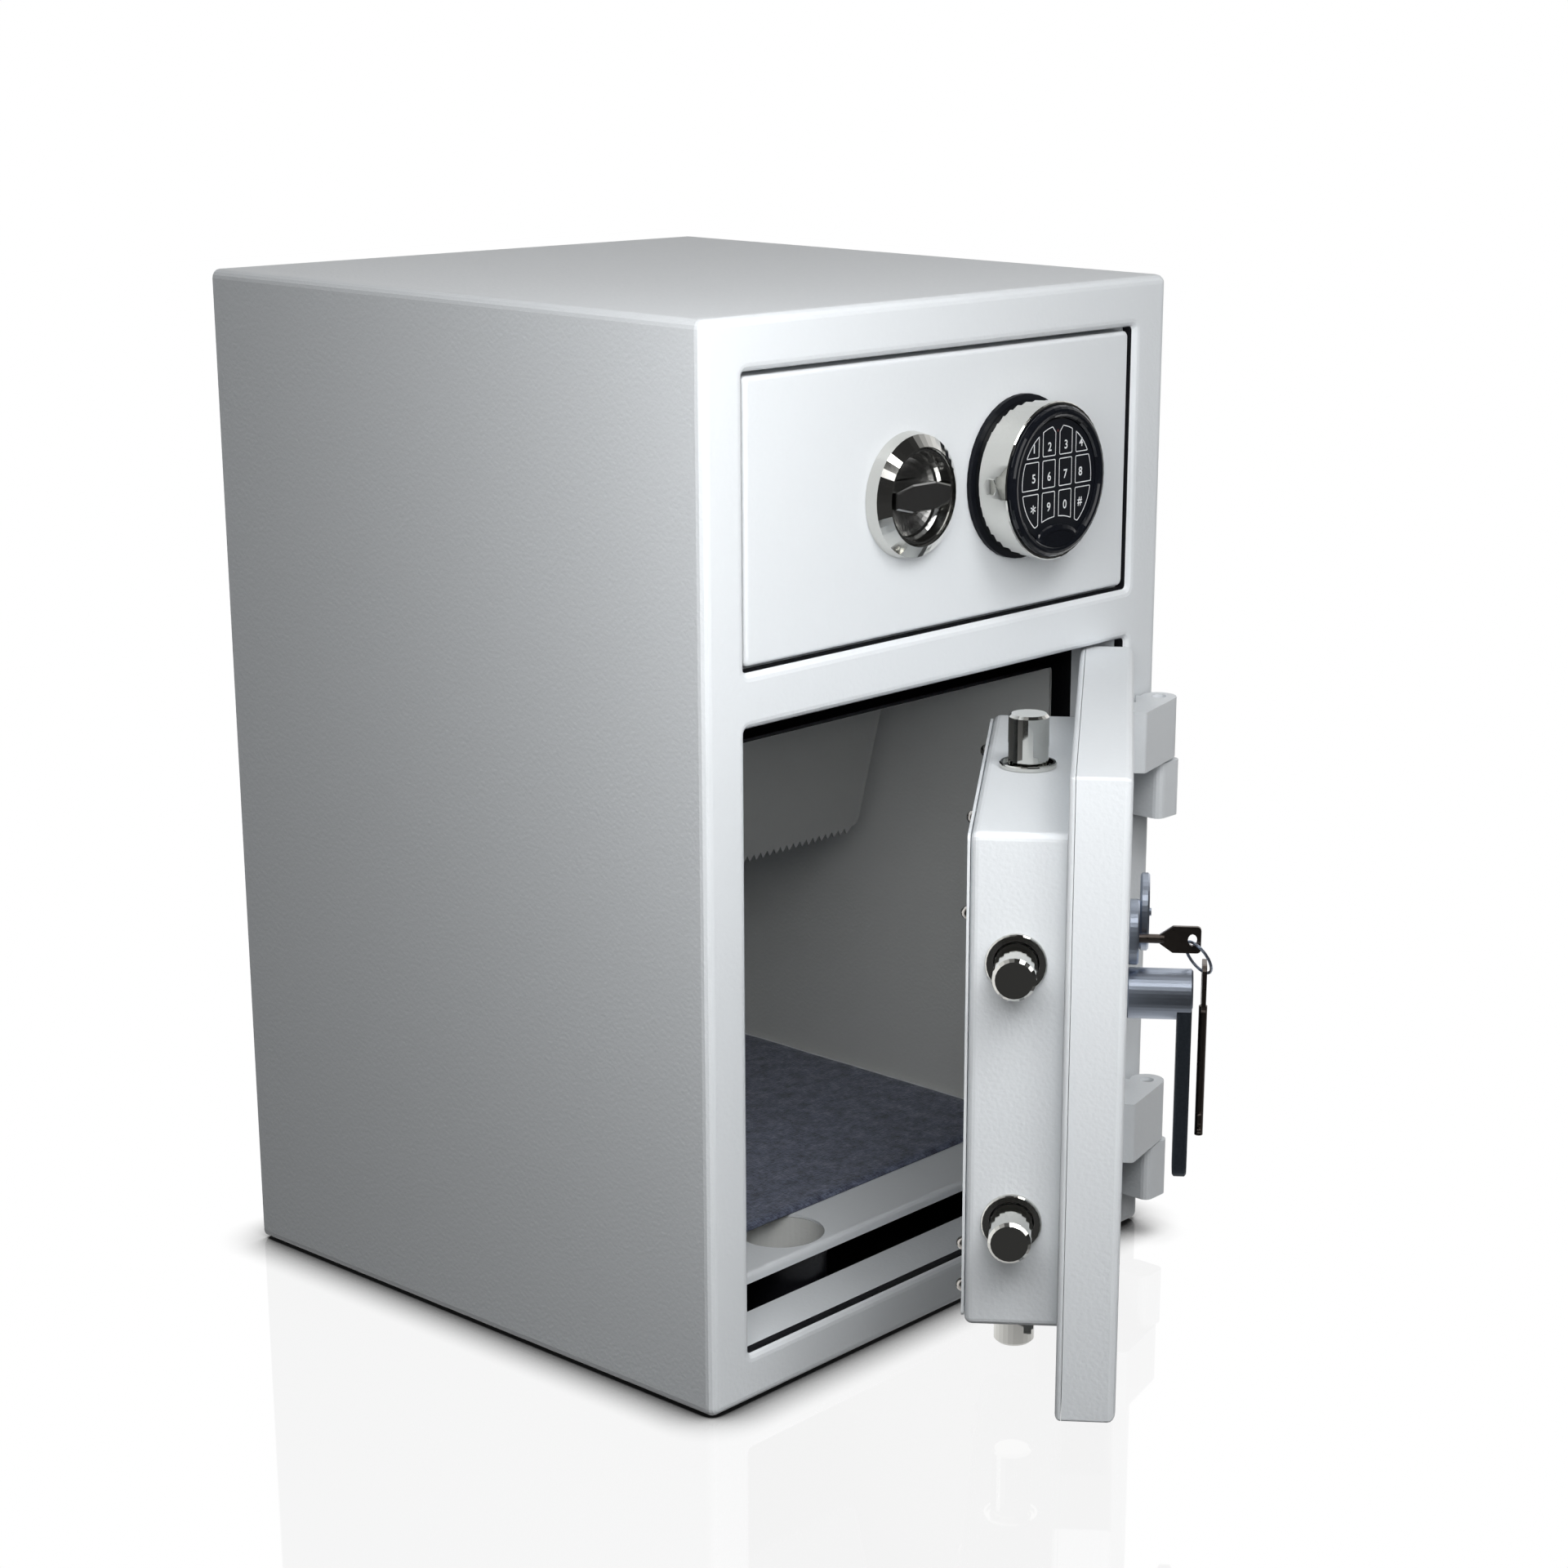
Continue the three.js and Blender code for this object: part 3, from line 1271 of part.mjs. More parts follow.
piece("drawer_front", drawerFront(), paint, drawer);
piece("drawer_tray", drawerTray(), zinc, drawer);
piece("slide_left", slideRail(-1), zinc, drawer);
piece("slide_right", slideRail(1), zinc, drawer);
piece("handle_bezel", handleBezel(), chrome, drawer);
piece("handle_cup", handleCup(), chrome, drawer);
piece("handle_bar", handleBar(), chrome, drawer);
piece("latch_tongue", latchTongue(), zinc, drawer);
piece(
  "keypad_gasket",
  rod(keypad.gasket, panelFace - gap, panelFace - gap - keypad.gasketThick, "y", [keypad.x, keypad.z], facets.dial),
  blackMatte, drawer,
);
piece("keypad_housing", keypadHousing(), chrome, drawer);
piece("keypad_bezel", keypadBezel(), blackGloss, drawer);
piece("keypad_mat", keypadMat(), blackMatte, drawer);
piece("keypad_badge", keypadBadge(), blackGloss, drawer);
piece("electronic_lock", electronicLock(), blackMatte, drawer);
piece("drop_flap", dropFlap(), zinc, drawer);
piece("flap_pin", flapPin(), zinc, drawer);

piece("door_pan", doorPan(), paint, shut);
piece("door_back", doorBack(), paint, shut);
piece("bolt_box", boltBox(), paint, shut);
piece("box_cover", boxCover(), paint, shut);
boltAxes.forEach((each) => piece(`guide_${each.name}`, boltGuide(each), chrome, shut));
piece("door_hinge_upper", doorLeaf(hinge.upperDoor), paint, shut);
piece("door_hinge_lower", doorLeaf(hinge.lowerDoor), paint, shut);
piece(
  "side_bolt_upper", boltRod(throws.side, throws.sideInner, "x", [bolt.axis, throws.upper]), chrome, shut,
);
piece(
  "side_bolt_lower", boltRod(throws.side, throws.sideInner, "x", [bolt.axis, throws.lower]), chrome, shut,
);
piece("side_carriage", sideCarriage(), zinc, shut);
piece("top_bolt", verticalBolt(throws.topX, throws.top, throws.topInner, 1), chrome, shut);
piece("bottom_bolt", verticalBolt(throws.bottomX, throws.bottom, throws.bottomInner, -1), chrome, shut);
piece("lever_cam", leverCam(), zinc, shut);
piece("lever_hub", leverHub(), satin, shut);
piece("lever_blade", bladeSolid(0), slate, shut);
piece("key_escutcheon", escutcheon(), satin, shut);
piece("lock_case", lockCase(), zinc, shut);
piece("key_cover", keyCover(), satin, shut);
piece("key", lockKey(), nickel, shut);
piece("key_ring", keyRing(), satin, shut);
piece("spare_key", spareKey(), nickel, shut);

export default safe;
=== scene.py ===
"""Finishes, printed keypad, felt, screws and studio for the drop safe with a deposit drawer."""

import math

import bpy
from mathutils import Matrix, Vector, noise


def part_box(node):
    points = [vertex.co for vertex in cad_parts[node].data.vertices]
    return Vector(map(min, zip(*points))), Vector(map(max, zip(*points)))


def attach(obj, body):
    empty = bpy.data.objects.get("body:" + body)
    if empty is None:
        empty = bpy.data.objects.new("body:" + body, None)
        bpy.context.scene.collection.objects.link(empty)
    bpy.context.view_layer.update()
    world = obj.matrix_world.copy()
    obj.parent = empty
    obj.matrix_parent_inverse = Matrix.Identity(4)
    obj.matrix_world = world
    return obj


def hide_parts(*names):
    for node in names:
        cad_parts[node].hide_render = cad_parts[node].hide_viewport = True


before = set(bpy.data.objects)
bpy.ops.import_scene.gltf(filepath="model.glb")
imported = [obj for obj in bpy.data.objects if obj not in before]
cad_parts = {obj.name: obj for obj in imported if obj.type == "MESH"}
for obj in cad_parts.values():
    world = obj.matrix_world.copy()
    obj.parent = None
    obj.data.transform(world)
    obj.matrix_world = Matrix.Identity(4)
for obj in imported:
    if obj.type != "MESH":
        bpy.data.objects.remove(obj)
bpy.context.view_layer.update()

bl_info = {
    "name": "Drop Safe Finishes",
    "version": (1, 0, 0),
    "blender": (4, 5, 0),
    "location": "3D View > Sidebar > Drop Safe",
    "description": "Coats, felt, keypad print, screws and studio for a drop safe with a deposit drawer",
    "category": "Object",
}

MM = 0.001

# How far the door stands open at rest, and the axis that it turns about.
HINGE_ANGLE = math.radians(36.7)
HINGE_PIN = Vector((175, -204, 0)) * MM

PAINTED_NODES = (
    "drawer_rebate", "frame_hinge_upper", "frame_hinge_lower", "floor_pan", "drawer_front",
    "door_pan", "door_back", "bolt_box", "box_cover", "door_hinge_upper", "door_hinge_lower",
)
ZINC_NODES = (
    "runner_left", "runner_right", "latch_keeper", "hinge_pin_upper", "hinge_pin_lower",
    "drawer_tray", "slide_left", "slide_right", "drop_flap", "flap_pin", "latch_tongue", "lock_case",
    "lever_cam", "side_carriage",
)
CHROME_NODES = (
    "handle_bezel", "keypad_housing", "guide_side_upper", "guide_side_lower",
    "guide_top", "guide_bottom", "side_bolt_upper", "side_bolt_lower", "top_bolt", "bottom_bolt",
)
SATIN_NODES = ("lever_hub", "key_escutcheon", "key_cover", "key_ring")
NICKEL_NODES = ("key", "spare_key")

# Where hidden faces and gaps get near-black painted shade, in millimetres: how far down from the top of a
# piece, how deep inside the shell's wall, round the bore of the well and in from the chute's edge.
SHADE_PAINTED_FROM_TOP = {"door_rebate": 12.0, "liner_wrap": 1.9}
SHADE_PAINTED_WALL = 2.8
SHADE_PAINTED_BORE = 25.4
SHADE_PAINTED_EDGE = 13.0

# Roughness of the powder coats, and how much darker the baffle is coloured than the liner, as painted shade.
PAINT_ROUGHNESS = 0.44
LINER_ROUGHNESS = 0.52
BAFFLE_PAINTED_SHADE = 0.62

# Colours of the plated, moulded and printed pieces.
CHROME = (0.74, 0.735, 0.70)
SOFT_CHROME = (0.52, 0.52, 0.51)
SATIN_STEEL = (0.46, 0.51, 0.60)
DARK_NICKEL = (0.16, 0.135, 0.12)
SCREW_STEEL = (0.60, 0.57, 0.53)
ZINC_TONES = (0.50, 0.51, 0.53), (0.62, 0.63, 0.64)
SLATE_TONES = (0.035, 0.043, 0.055), (0.065, 0.078, 0.095)
GLOSS_BLACK = (0.006, 0.007, 0.010)
MATT_BLACK = (0.005, 0.006, 0.009)
WHITE_INK = (0.82, 0.84, 0.86)
RED_LAMP = (0.10, 0.012, 0.014)

# Between these two levels a noise has most of its values.
NOISE_RANGE = (0.3, 0.7)

# The felt's surface, in metres.
FELT_ROUND_OVER = 0.0014
FELT_STEP = 0.004
FELT_NAP = 0.0004
FELT_SWELL = 0.00035
FELT_SWELL_LIMIT = 0.0003
FELT_SWELL_SCALE = 60


class SafeCoats(bpy.types.PropertyGroup):
    """Colours and textures of the coats."""

    paint: bpy.props.FloatVectorProperty(
        name="Powder coat", description="Colour of the cabinet's outer coat", subtype="COLOR", size=3,
        min=0, max=1, default=(0.775, 0.805, 0.83),
    )
    # Near-black painted shade for hidden faces and the gaps behind the frame, which lie in deep shade.
    painted_shade: bpy.props.FloatVectorProperty(
        name="Primer", description="Colour of the bare primer on hidden faces", subtype="COLOR", size=3,
        min=0, max=1, default=(0.006, 0.006, 0.008),
    )
    liner: bpy.props.FloatVectorProperty(
        name="Liner coat", description="Colour inside the compartment", subtype="COLOR", size=3,
        min=0, max=1, default=(0.71, 0.72, 0.705),
    )
    peel_size: bpy.props.FloatProperty(
        name="Peel size", description="Width of one bump of the orange-peel coat", subtype="DISTANCE",
        unit="LENGTH", default=0.0022,
    )
    peel_depth: bpy.props.FloatProperty(
        name="Peel depth", description="Height of the bumps of the coat", subtype="DISTANCE",
        unit="LENGTH", default=0.00018,
    )
    felt_dark: bpy.props.FloatVectorProperty(
        name="Felt, dark fibres", description="Darker fibres of the felt", subtype="COLOR", size=3,
        min=0, max=1, default=(0.040, 0.048, 0.080),
    )
    felt_pale: bpy.props.FloatVectorProperty(
        name="Felt, pale fibres", description="Paler fibres of the felt", subtype="COLOR", size=3,
        min=0, max=1, default=(0.20, 0.23, 0.33),
    )


class SafeFittings(bpy.types.PropertyGroup):
    """Sizes of the printed keypad and of the small fittings."""

    key_line: bpy.props.FloatProperty(
        name="Key outline", description="Width of the white line round each key", unit="LENGTH",
        default=0.0005,
    )
    key_corner: bpy.props.FloatProperty(
        name="Key corner", description="Corner radius of the key outlines", unit="LENGTH", default=0.0011,
    )
    figure_height: bpy.props.FloatProperty(
        name="Figure height", description="Height of the printed figures", unit="LENGTH", default=0.0047,
    )
    screw_head: bpy.props.FloatProperty(
        name="Screw head", description="Radius of the cover's pan-head screws", unit="LENGTH",
        default=0.0034,
    )
    screw_rise: bpy.props.FloatProperty(
        name="Screw rise", description="Height of the cover's screw heads", unit="LENGTH", default=0.0032,
    )


class SafeStudio(bpy.types.PropertyGroup):
    """Lamps and room light of the studio."""

    high_power: bpy.props.FloatProperty(
        name="High lamp", description="Power of the large lamp high before the front", subtype="POWER",
        default=33.0,
    )
    front_power: bpy.props.FloatProperty(
        name="Front lamp", description="Power of the lamp straight before the front", subtype="POWER",
        default=3.3,
    )
    low_power: bpy.props.FloatProperty(
        name="Low lamp", description="Power of the low lamp left of the front", subtype="POWER", default=2.2,
    )
    near_power: bpy.props.FloatProperty(
        name="Near lamp", description="Power of the small lamp by the front corner", subtype="POWER",
        default=2.7,
    )
    sky: bpy.props.FloatProperty(
        name="Room light", description="Strength of the light from all round", default=0.012, min=0,
    )


def put(tree, socket, value):
    """Set an input to a value, or link it to another node's output."""
    if isinstance(value, bpy.types.NodeSocket):
        tree.links.new(value, socket)
    else:
        socket.default_value = value


def add_node(tree, kind, inputs=None, **settings):
    """A new node with its settings and its inputs."""
    node = tree.nodes.new(kind)
    for key, value in settings.items():
        setattr(node, key, value)
    for key, value in (inputs or {}).items():
        put(tree, node.inputs[key], value)
    return node


def add_span(tree, value, low, high, to_low, to_high):
    """A value carried over from one range to another, held at its ends."""
    limits = {"Value": value, "From Min": low, "From Max": high, "To Min": to_low, "To Max": to_high}
    return add_node(tree, "ShaderNodeMapRange", limits).outputs["Result"]


class Nodes:
    """A short way to add and join the nodes of one shader."""

    def __init__(self, name):
        self.material = bpy.data.materials.new(name)
        self.material.use_nodes = True
        self.tree = self.material.node_tree
        self.shader = self.tree.nodes["Principled BSDF"]
        self.place = self.add("ShaderNodeTexCoord").outputs["Object"]

    def add(self, kind, inputs=None, **settings):
        return add_node(self.tree, kind, inputs, **settings)

    def set(self, **values):
        for key, value in values.items():
            put(self.tree, self.shader.inputs[key.replace("_", " ")], value)

    def noise(self, scale, detail=2.0, rough=0.5, place=None):
        made = self.add(
            "ShaderNodeTexNoise",
            {"Vector": place or self.place, "Scale": scale, "Detail": detail, "Roughness": rough},
        )
        return made.outputs["Fac"]

    def stretched(self, scale):
        return self.add("ShaderNodeMapping", {"Vector": self.place, "Scale": scale}).outputs["Vector"]

    def blend(self, factor, low, high):
        mixed = self.add("ShaderNodeMix", {0: factor}, data_type="RGBA")
        for name, value in (("A", low), ("B", high)):
            given = next(end for end in mixed.inputs if end.name == name and end.type == "RGBA")
            put(self.tree, given, value if isinstance(value, bpy.types.NodeSocket) else (*value, 1))
        return next(end for end in mixed.outputs if end.type == "RGBA")

    def times(self, a, b):
        return self.add("ShaderNodeMath", {0: a, 1: b}, operation="MULTIPLY").outputs[0]

    def opposite(self, mask):
        return self.add("ShaderNodeMath", {0: 1.0, 1: mask}, operation="SUBTRACT").outputs[0]

    def span(self, *limits):
        return add_span(self.tree, *limits)

    def varied(self, noise, low, high):
        """A value that goes from low to high as the noise does."""
        return self.span(noise, *NOISE_RANGE, low, high)

    def bump(self, height, distance, strength=1.0, under=None):
        inputs = {"Height": height, "Distance": distance, "Strength": strength}
        if under is not None:
            inputs["Normal"] = under
        return self.add("ShaderNodeBump", inputs).outputs["Normal"]


def shade(colour, factor):
    return tuple(min(1.0, channel * factor) for channel in colour)


def inside_box(nodes, low, high):
    """1 where the object coordinates lie in a box, 0 elsewhere."""
    axes = nodes.add("ShaderNodeSeparateXYZ", {"Vector": nodes.place})
    inside = None
    for axis, near, far in zip("XYZ", low, high):
        for limit, way in ((near, "GREATER_THAN"), (far, "LESS_THAN")):
            test = nodes.add("ShaderNodeMath", {0: axes.outputs[axis], 1: limit}, operation=way).outputs[0]
            inside = test if inside is None else nodes.times(inside, test)
    return inside


def inside_tube(nodes, centre, radius):
    """1 within a radius of an upright axis, 0 elsewhere."""
    flat = nodes.add("ShaderNodeVectorMath", {0: nodes.place, 1: (1, 1, 0)}, operation="MULTIPLY")
    ends = {0: flat.outputs[0], 1: (*centre, 0)}
    away = nodes.add("ShaderNodeVectorMath", ends, operation="DISTANCE").outputs["Value"]
    return nodes.add("ShaderNodeMath", {0: away, 1: radius}, operation="LESS_THAN").outputs[0]


def within(region, *limits):
    """The mask of a region, to be made in a material's own nodes."""
    return lambda nodes: region(nodes, *limits)


def outside(region, *limits):
    """The mask of all that is outside a region."""
    return lambda nodes: nodes.opposite(region(nodes, *limits))


def powder_coat(name, colour, peel_size, peel_depth, roughness, shade_region=None, painted_shade=(0, 0, 0)):
    """Sprayed powder coat: orange-peel bumps, a few nibs, a faint drift of tone, near-black painted shade
    over the given region.
    """
    nodes = Nodes(name)
    peel = nodes.noise(1 / peel_size, detail=1.5, rough=0.45)
    nibs = nodes.add(
        "ShaderNodeTexVoronoi", {"Vector": nodes.place, "Scale": 24.0, "Randomness": 1.0}, feature="F1",
    ).outputs["Distance"]
    nib_height = nodes.span(nibs, 0.0, 0.03, 1.0, 0.0)
    low_bump = nodes.bump(peel, peel_depth)
    drift = nodes.noise(3.0, detail=3.0)
    coat = nodes.blend(drift, shade(colour, 0.985), shade(colour, 1.01))
    # Painted shade: the given region is coloured near-black.
    if shade_region:
        coat = nodes.blend(shade_region(nodes), coat, painted_shade)
    nodes.set(
        Base_Color=coat,
        Roughness=nodes.varied(peel, roughness - 0.04, roughness + 0.06),
        Normal=nodes.bump(nib_height, peel_depth, 0.6, under=low_bump),
        Specular_IOR_Level=0.42,
    )
    return nodes.material


def polished_metal(name, colour, roughness, ripple=0.000002):
    """Plated metal with a very slight ripple and a fine variation of polish."""
    nodes = Nodes(name)
    wave = nodes.noise(60.0, detail=2.0)
    smear = nodes.noise(400.0, detail=4.0)
    nodes.set(
        Base_Color=nodes.blend(wave, shade(colour, 0.96), colour),
        Metallic=1.0,
        Roughness=nodes.varied(smear, roughness * 0.9, roughness * 1.12),
        Normal=nodes.bump(wave, ripple),
    )
    return nodes.material


def brushed_metal(name, colour, roughness, stretch, depth=0.00002):
    """Turned or brushed metal, its fine lines drawn along one direction."""
    nodes = Nodes(name)
    lines = nodes.noise(1.0, detail=3.0, rough=0.6, place=nodes.stretched(stretch))
    cloud = nodes.noise(45.0, detail=2.0)
    nodes.set(
        Base_Color=nodes.blend(cloud, shade(colour, 0.96), shade(colour, 1.03)),
        Metallic=1.0,
        Roughness=nodes.varied(lines, roughness - 0.03, roughness + 0.04),
        Normal=nodes.bump(lines, depth, 0.5),
    )
    return nodes.material


def zinc_plate():
    """Plain zinc-plated sheet with its faint spangle."""
    nodes = Nodes("zinc_plate")
    spangle = nodes.add(
        "ShaderNodeTexVoronoi", {"Vector": nodes.place, "Scale": 130.0, "Randomness": 1.0}, feature="F1",
    ).outputs["Color"]
    tone = nodes.add("ShaderNodeSeparateColor", {"Color": spangle}).outputs["Red"]
    nodes.set(
        Base_Color=nodes.blend(tone, *ZINC_TONES),
        Metallic=0.95,
        Roughness=nodes.span(tone, 0.0, 1.0, 0.34, 0.5),
        Normal=nodes.bump(nodes.noise(500.0), 0.00001),
    )
    return nodes.material


def moulding(name, colour, roughness, grain, depth, shine=0.5):
    """Black plastic, smooth or finely grained."""
    nodes = Nodes(name)
    grains = nodes.noise(grain, detail=2.0)
    nodes.set(
        Base_Color=nodes.blend(grains, shade(colour, 0.8), shade(colour, 1.2)),
        Roughness=nodes.varied(grains, roughness * 0.8, roughness * 1.2),
        Normal=nodes.bump(grains, depth),
        Specular_IOR_Level=shine,
    )
    return nodes.material


def slate_coat():
    """Dark slate satin coat of the lever's blade."""
    nodes = Nodes("slate_coat")
    speck = nodes.noise(900.0, detail=3.0)
    nodes.set(
        Base_Color=nodes.blend(speck, *SLATE_TONES),
        Metallic=0.75,
        Roughness=nodes.varied(speck, 0.3, 0.44),
        Normal=nodes.bump(speck, 0.00002),
    )
    return nodes.material


def felt_cloth(coats):
    """Pressed felt: crossing fibres in two tones over slow blotches, with a soft nap."""
    nodes = Nodes("pressed_felt")
    across = nodes.noise(1.0, detail=5.0, rough=0.62, place=nodes.stretched((900.0, 230.0, 400.0)))
    along = nodes.noise(1.0, detail=5.0, rough=0.62, place=nodes.stretched((210.0, 760.0, 400.0)))
    blotch = nodes.noise(95.0, detail=3.0)
    mixed = nodes.times(across, along)
    toned = nodes.times(mixed, nodes.span(blotch, 0.25, 0.75, 0.6, 1.4))
    factor = nodes.span(toned, 0.13, 0.42, 0.0, 1.0)
    nap = nodes.noise(1800.0, detail=3.0, rough=0.7)
    nodes.set(
        Base_Color=nodes.blend(factor, coats.felt_dark, coats.felt_pale),
        Roughness=1.0,
        Sheen_Weight=0.25,
        Sheen_Roughness=0.5,
        Normal=nodes.bump(nap, 0.0004, 0.7, under=nodes.bump(mixed, 0.0006)),
    )
    return nodes.material


def print_ink(name, colour):
    """Printed line or lamp on the keypad."""
    nodes = Nodes(name)
    nodes.set(Base_Color=nodes.blend(nodes.noise(2000.0), shade(colour, 0.9), colour), Roughness=0.5)
    return nodes.material


def coat_nodes(names, material):
    """Give CAD nodes one finish."""
    for name in names:
        for material_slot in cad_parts[name].material_slots:
            material_slot.material = material


def mesh_piece(name, vertices, faces, material, body, slot):
    """A new mesh piece of the object, riding on its body."""
    mesh = bpy.data.meshes.new(name)
    mesh.from_pydata([tuple(v) for v in vertices], [], faces)
    mesh.update()
    mesh.materials.append(material)
    made = bpy.data.objects.new(name, mesh)
    bpy.context.scene.collection.objects.link(made)
    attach(made, body)
    return made


def door_point(x, y, z):
    """A point given on the shut door, in millimetres, moved to where the open door holds it."""
    turn = Matrix.Rotation(HINGE_ANGLE, 3, "Z")
    return HINGE_PIN + turn @ (Vector((x, y, z)) * MM - HINGE_PIN)


class SAFE_OT_coats(bpy.types.Operator):
    """Paint, plate and polish every piece of the frame"""

    bl_idname = "safe.coats"
    bl_label = "Coats and plating"

    def execute(self, context):
        coats = context.scene.safe_coats
        peel = (coats.peel_size, coats.peel_depth)
        paint = powder_coat("white_powder_coat", coats.paint, *peel, PAINT_ROUGHNESS)
        coat_nodes(PAINTED_NODES, paint)
        liner = powder_coat("liner_powder_coat", coats.liner, *peel, LINER_ROUGHNESS)
        coat_nodes(("liner_back",), liner)
        # Painted shade: the baffle is coloured darker than the liner.
        baffle_painted_shade = shade(coats.liner, BAFFLE_PAINTED_SHADE)
        baffle = powder_coat("baffle_powder_coat", baffle_painted_shade, *peel, LINER_ROUGHNESS)
        coat_nodes(("saw_tooth_baffle",), baffle)
        # Painted shade: hidden faces of these pieces are coloured near-black.
        for name, colour, shade_region in self.shade_painted_parts(coats):
            coat = powder_coat(f"{name}_coat", colour, *peel, PAINT_ROUGHNESS, shade_region, coats.painted_shade)
            coat_nodes((name,), coat)
        # Painted shade: the drawer deck and the back panel are coloured near-black.
        coat_nodes(("drawer_deck", "back_panel"), moulding("black_primer", coats.painted_shade, 0.8, 800, 1e-5))
        coat_nodes(CHROME_NODES, polished_metal("polished_chrome", CHROME, 0.06))
        soft = polished_metal("soft_chrome", SOFT_CHROME, 0.2, 1e-6)
        coat_nodes(("handle_cup", "handle_bar"), soft)
        satin = brushed_metal("satin_steel", SATIN_STEEL, 0.33, (1400, 1400, 1400), 2e-6)
        coat_nodes(SATIN_NODES, satin)
        nickel = brushed_metal("dark_nickel", DARK_NICKEL, 0.3, (500, 500, 500))
        coat_nodes(NICKEL_NODES, nickel)
        coat_nodes(ZINC_NODES, zinc_plate())
        coat_nodes(("lever_blade",), slate_coat())
        gloss = moulding("gloss_black", GLOSS_BLACK, 0.09, 300, 1e-6)
        coat_nodes(("keypad_bezel", "keypad_badge"), gloss)
        matte = moulding("matt_black", MATT_BLACK, 0.5, 2500, 5e-6, shine=0.15)
        coat_nodes(("keypad_gasket", "keypad_mat", "electronic_lock"), matte)
        return {"FINISHED"}

    def shade_painted_parts(self, coats):
        """Pieces whose hidden faces get near-black painted shade: node, colour and the mask of its painted
        region.
        """
        far = Vector((1, 1, 1))
        low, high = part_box("outer_shell")
        wall = far * SHADE_PAINTED_WALL * MM
        past_back = Vector((high.x, high.y * 2, high.z))
        yield "outer_shell", coats.paint, within(inside_box, low + wall, past_back - wall)
        for name, colour in (("door_rebate", coats.paint), ("liner_wrap", coats.liner)):
            from_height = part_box(name)[1].z - SHADE_PAINTED_FROM_TOP[name] * MM
            yield name, colour, within(inside_box, Vector((-1, -1, from_height)), far)
        low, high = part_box("bolt_well")
        centre = ((low.x + high.x) / 2, (low.y + high.y) / 2)
        yield "bolt_well", coats.liner, outside(inside_tube, centre, SHADE_PAINTED_BORE * MM)
        low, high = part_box("drop_chute")
        edge = Vector((SHADE_PAINTED_EDGE, SHADE_PAINTED_EDGE, 0)) * MM
        above = Vector((0, 0, 1))
        yield "drop_chute", coats.liner, outside(inside_box, low + edge, high - edge + above)


class SAFE_OT_felt(bpy.types.Operator):
    """Lay the pressed felt on the compartment's floor"""

    bl_idname = "safe.felt"
    bl_label = "Felt mat"

    def execute(self, context):
        low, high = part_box("felt_mat")
        across, deep = high.x - low.x, high.y - low.y
        columns, rows = round(across / FELT_STEP), round(deep / FELT_STEP)
        vertices, faces = [], []
        for row in range(rows + 1):
            for column in range(columns + 1):
                x = low.x + across * column / columns
                y = low.y + deep * row / rows
                edge = min(x - low.x, high.x - x, y - low.y, high.y - y)
                slope = 1 - min(edge / FELT_ROUND_OVER, 1.0)
                fall = FELT_ROUND_OVER * (1 - math.sqrt(max(0.0, 1 - slope**2)))
                swell = FELT_SWELL * noise.noise(Vector((x, y, 0)) * FELT_SWELL_SCALE)
                vertices.append((x, y, high.z - FELT_NAP - fall + min(swell, FELT_SWELL_LIMIT)))
        top_count = len(vertices)
        vertices += [(x, y, low.z) for x, y, _ in vertices]
        wide = columns + 1
        for row in range(rows):
            for column in range(columns):
                a = row * wide + column
                faces.append((a, a + 1, a + wide + 1, a + wide))
                faces.append(tuple(top_count + i for i in (a, a + wide, a + wide + 1, a + 1)))
        rim = list(range(wide)) + [r * wide + columns for r in range(1, rows + 1)]
        rim += [rows * wide + c for c in range(columns - 1, -1, -1)]
        rim += [r * wide for r in range(rows - 1, 0, -1)]
        for a, b in zip(rim, rim[1:] + rim[:1]):
            faces.append((a, top_count + a, top_count + b, b))
        felt = mesh_piece(
            "felt_lining", vertices, faces, felt_cloth(context.scene.safe_coats), "cabinet", "felt",
        )
        for polygon in felt.data.polygons:
            polygon.use_smooth = True
        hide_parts("felt_mat")
        return {"FINISHED"}


# Keypad layout on its face, in millimetres from its centre: the keys lie between straight columns
# and rows, inside a circle, and above the arc that clears the plate at the bottom. A figure is
# set by its font size, of which its height is a share. The print stands proud by its rise.
KEY_CIRCLE = 30.5
LOWER_ARC = {"centre": -59.5, "radius": 40.0}
COLUMN_INNER = 1.6
COLUMN_SPLIT = 13.0
COLUMN_OUTER = 16.0
ROW_EDGES = ((14.1, 40.0), (-3.1, 12.3), (-40.0, -5.1))
LAMP_NOTCH = {"width": 3.0, "drop": 3.6}
KEY_FIGURES = (("1", "2", "3", "4"), ("5", "6", "7", "8"), ("*", "9", "0", "#"))
FIGURE_COLUMNS = (-20.4, -6.9, 7.4, 20.8)
FIGURE_ROWS = (19.4, 3.3, -13.4)
CAP_SHARE = 0.69
STAR_GROWTH = 1.5
FIGURE_BOLDER = 0.08
LAMP_HEIGHT = 27.5
LAMP_RADIUS = 0.7
PRINT_RISE = 0.06
ARC_STEPS = 10
CORNER_STEPS = 4
SAME_POINT = 0.2


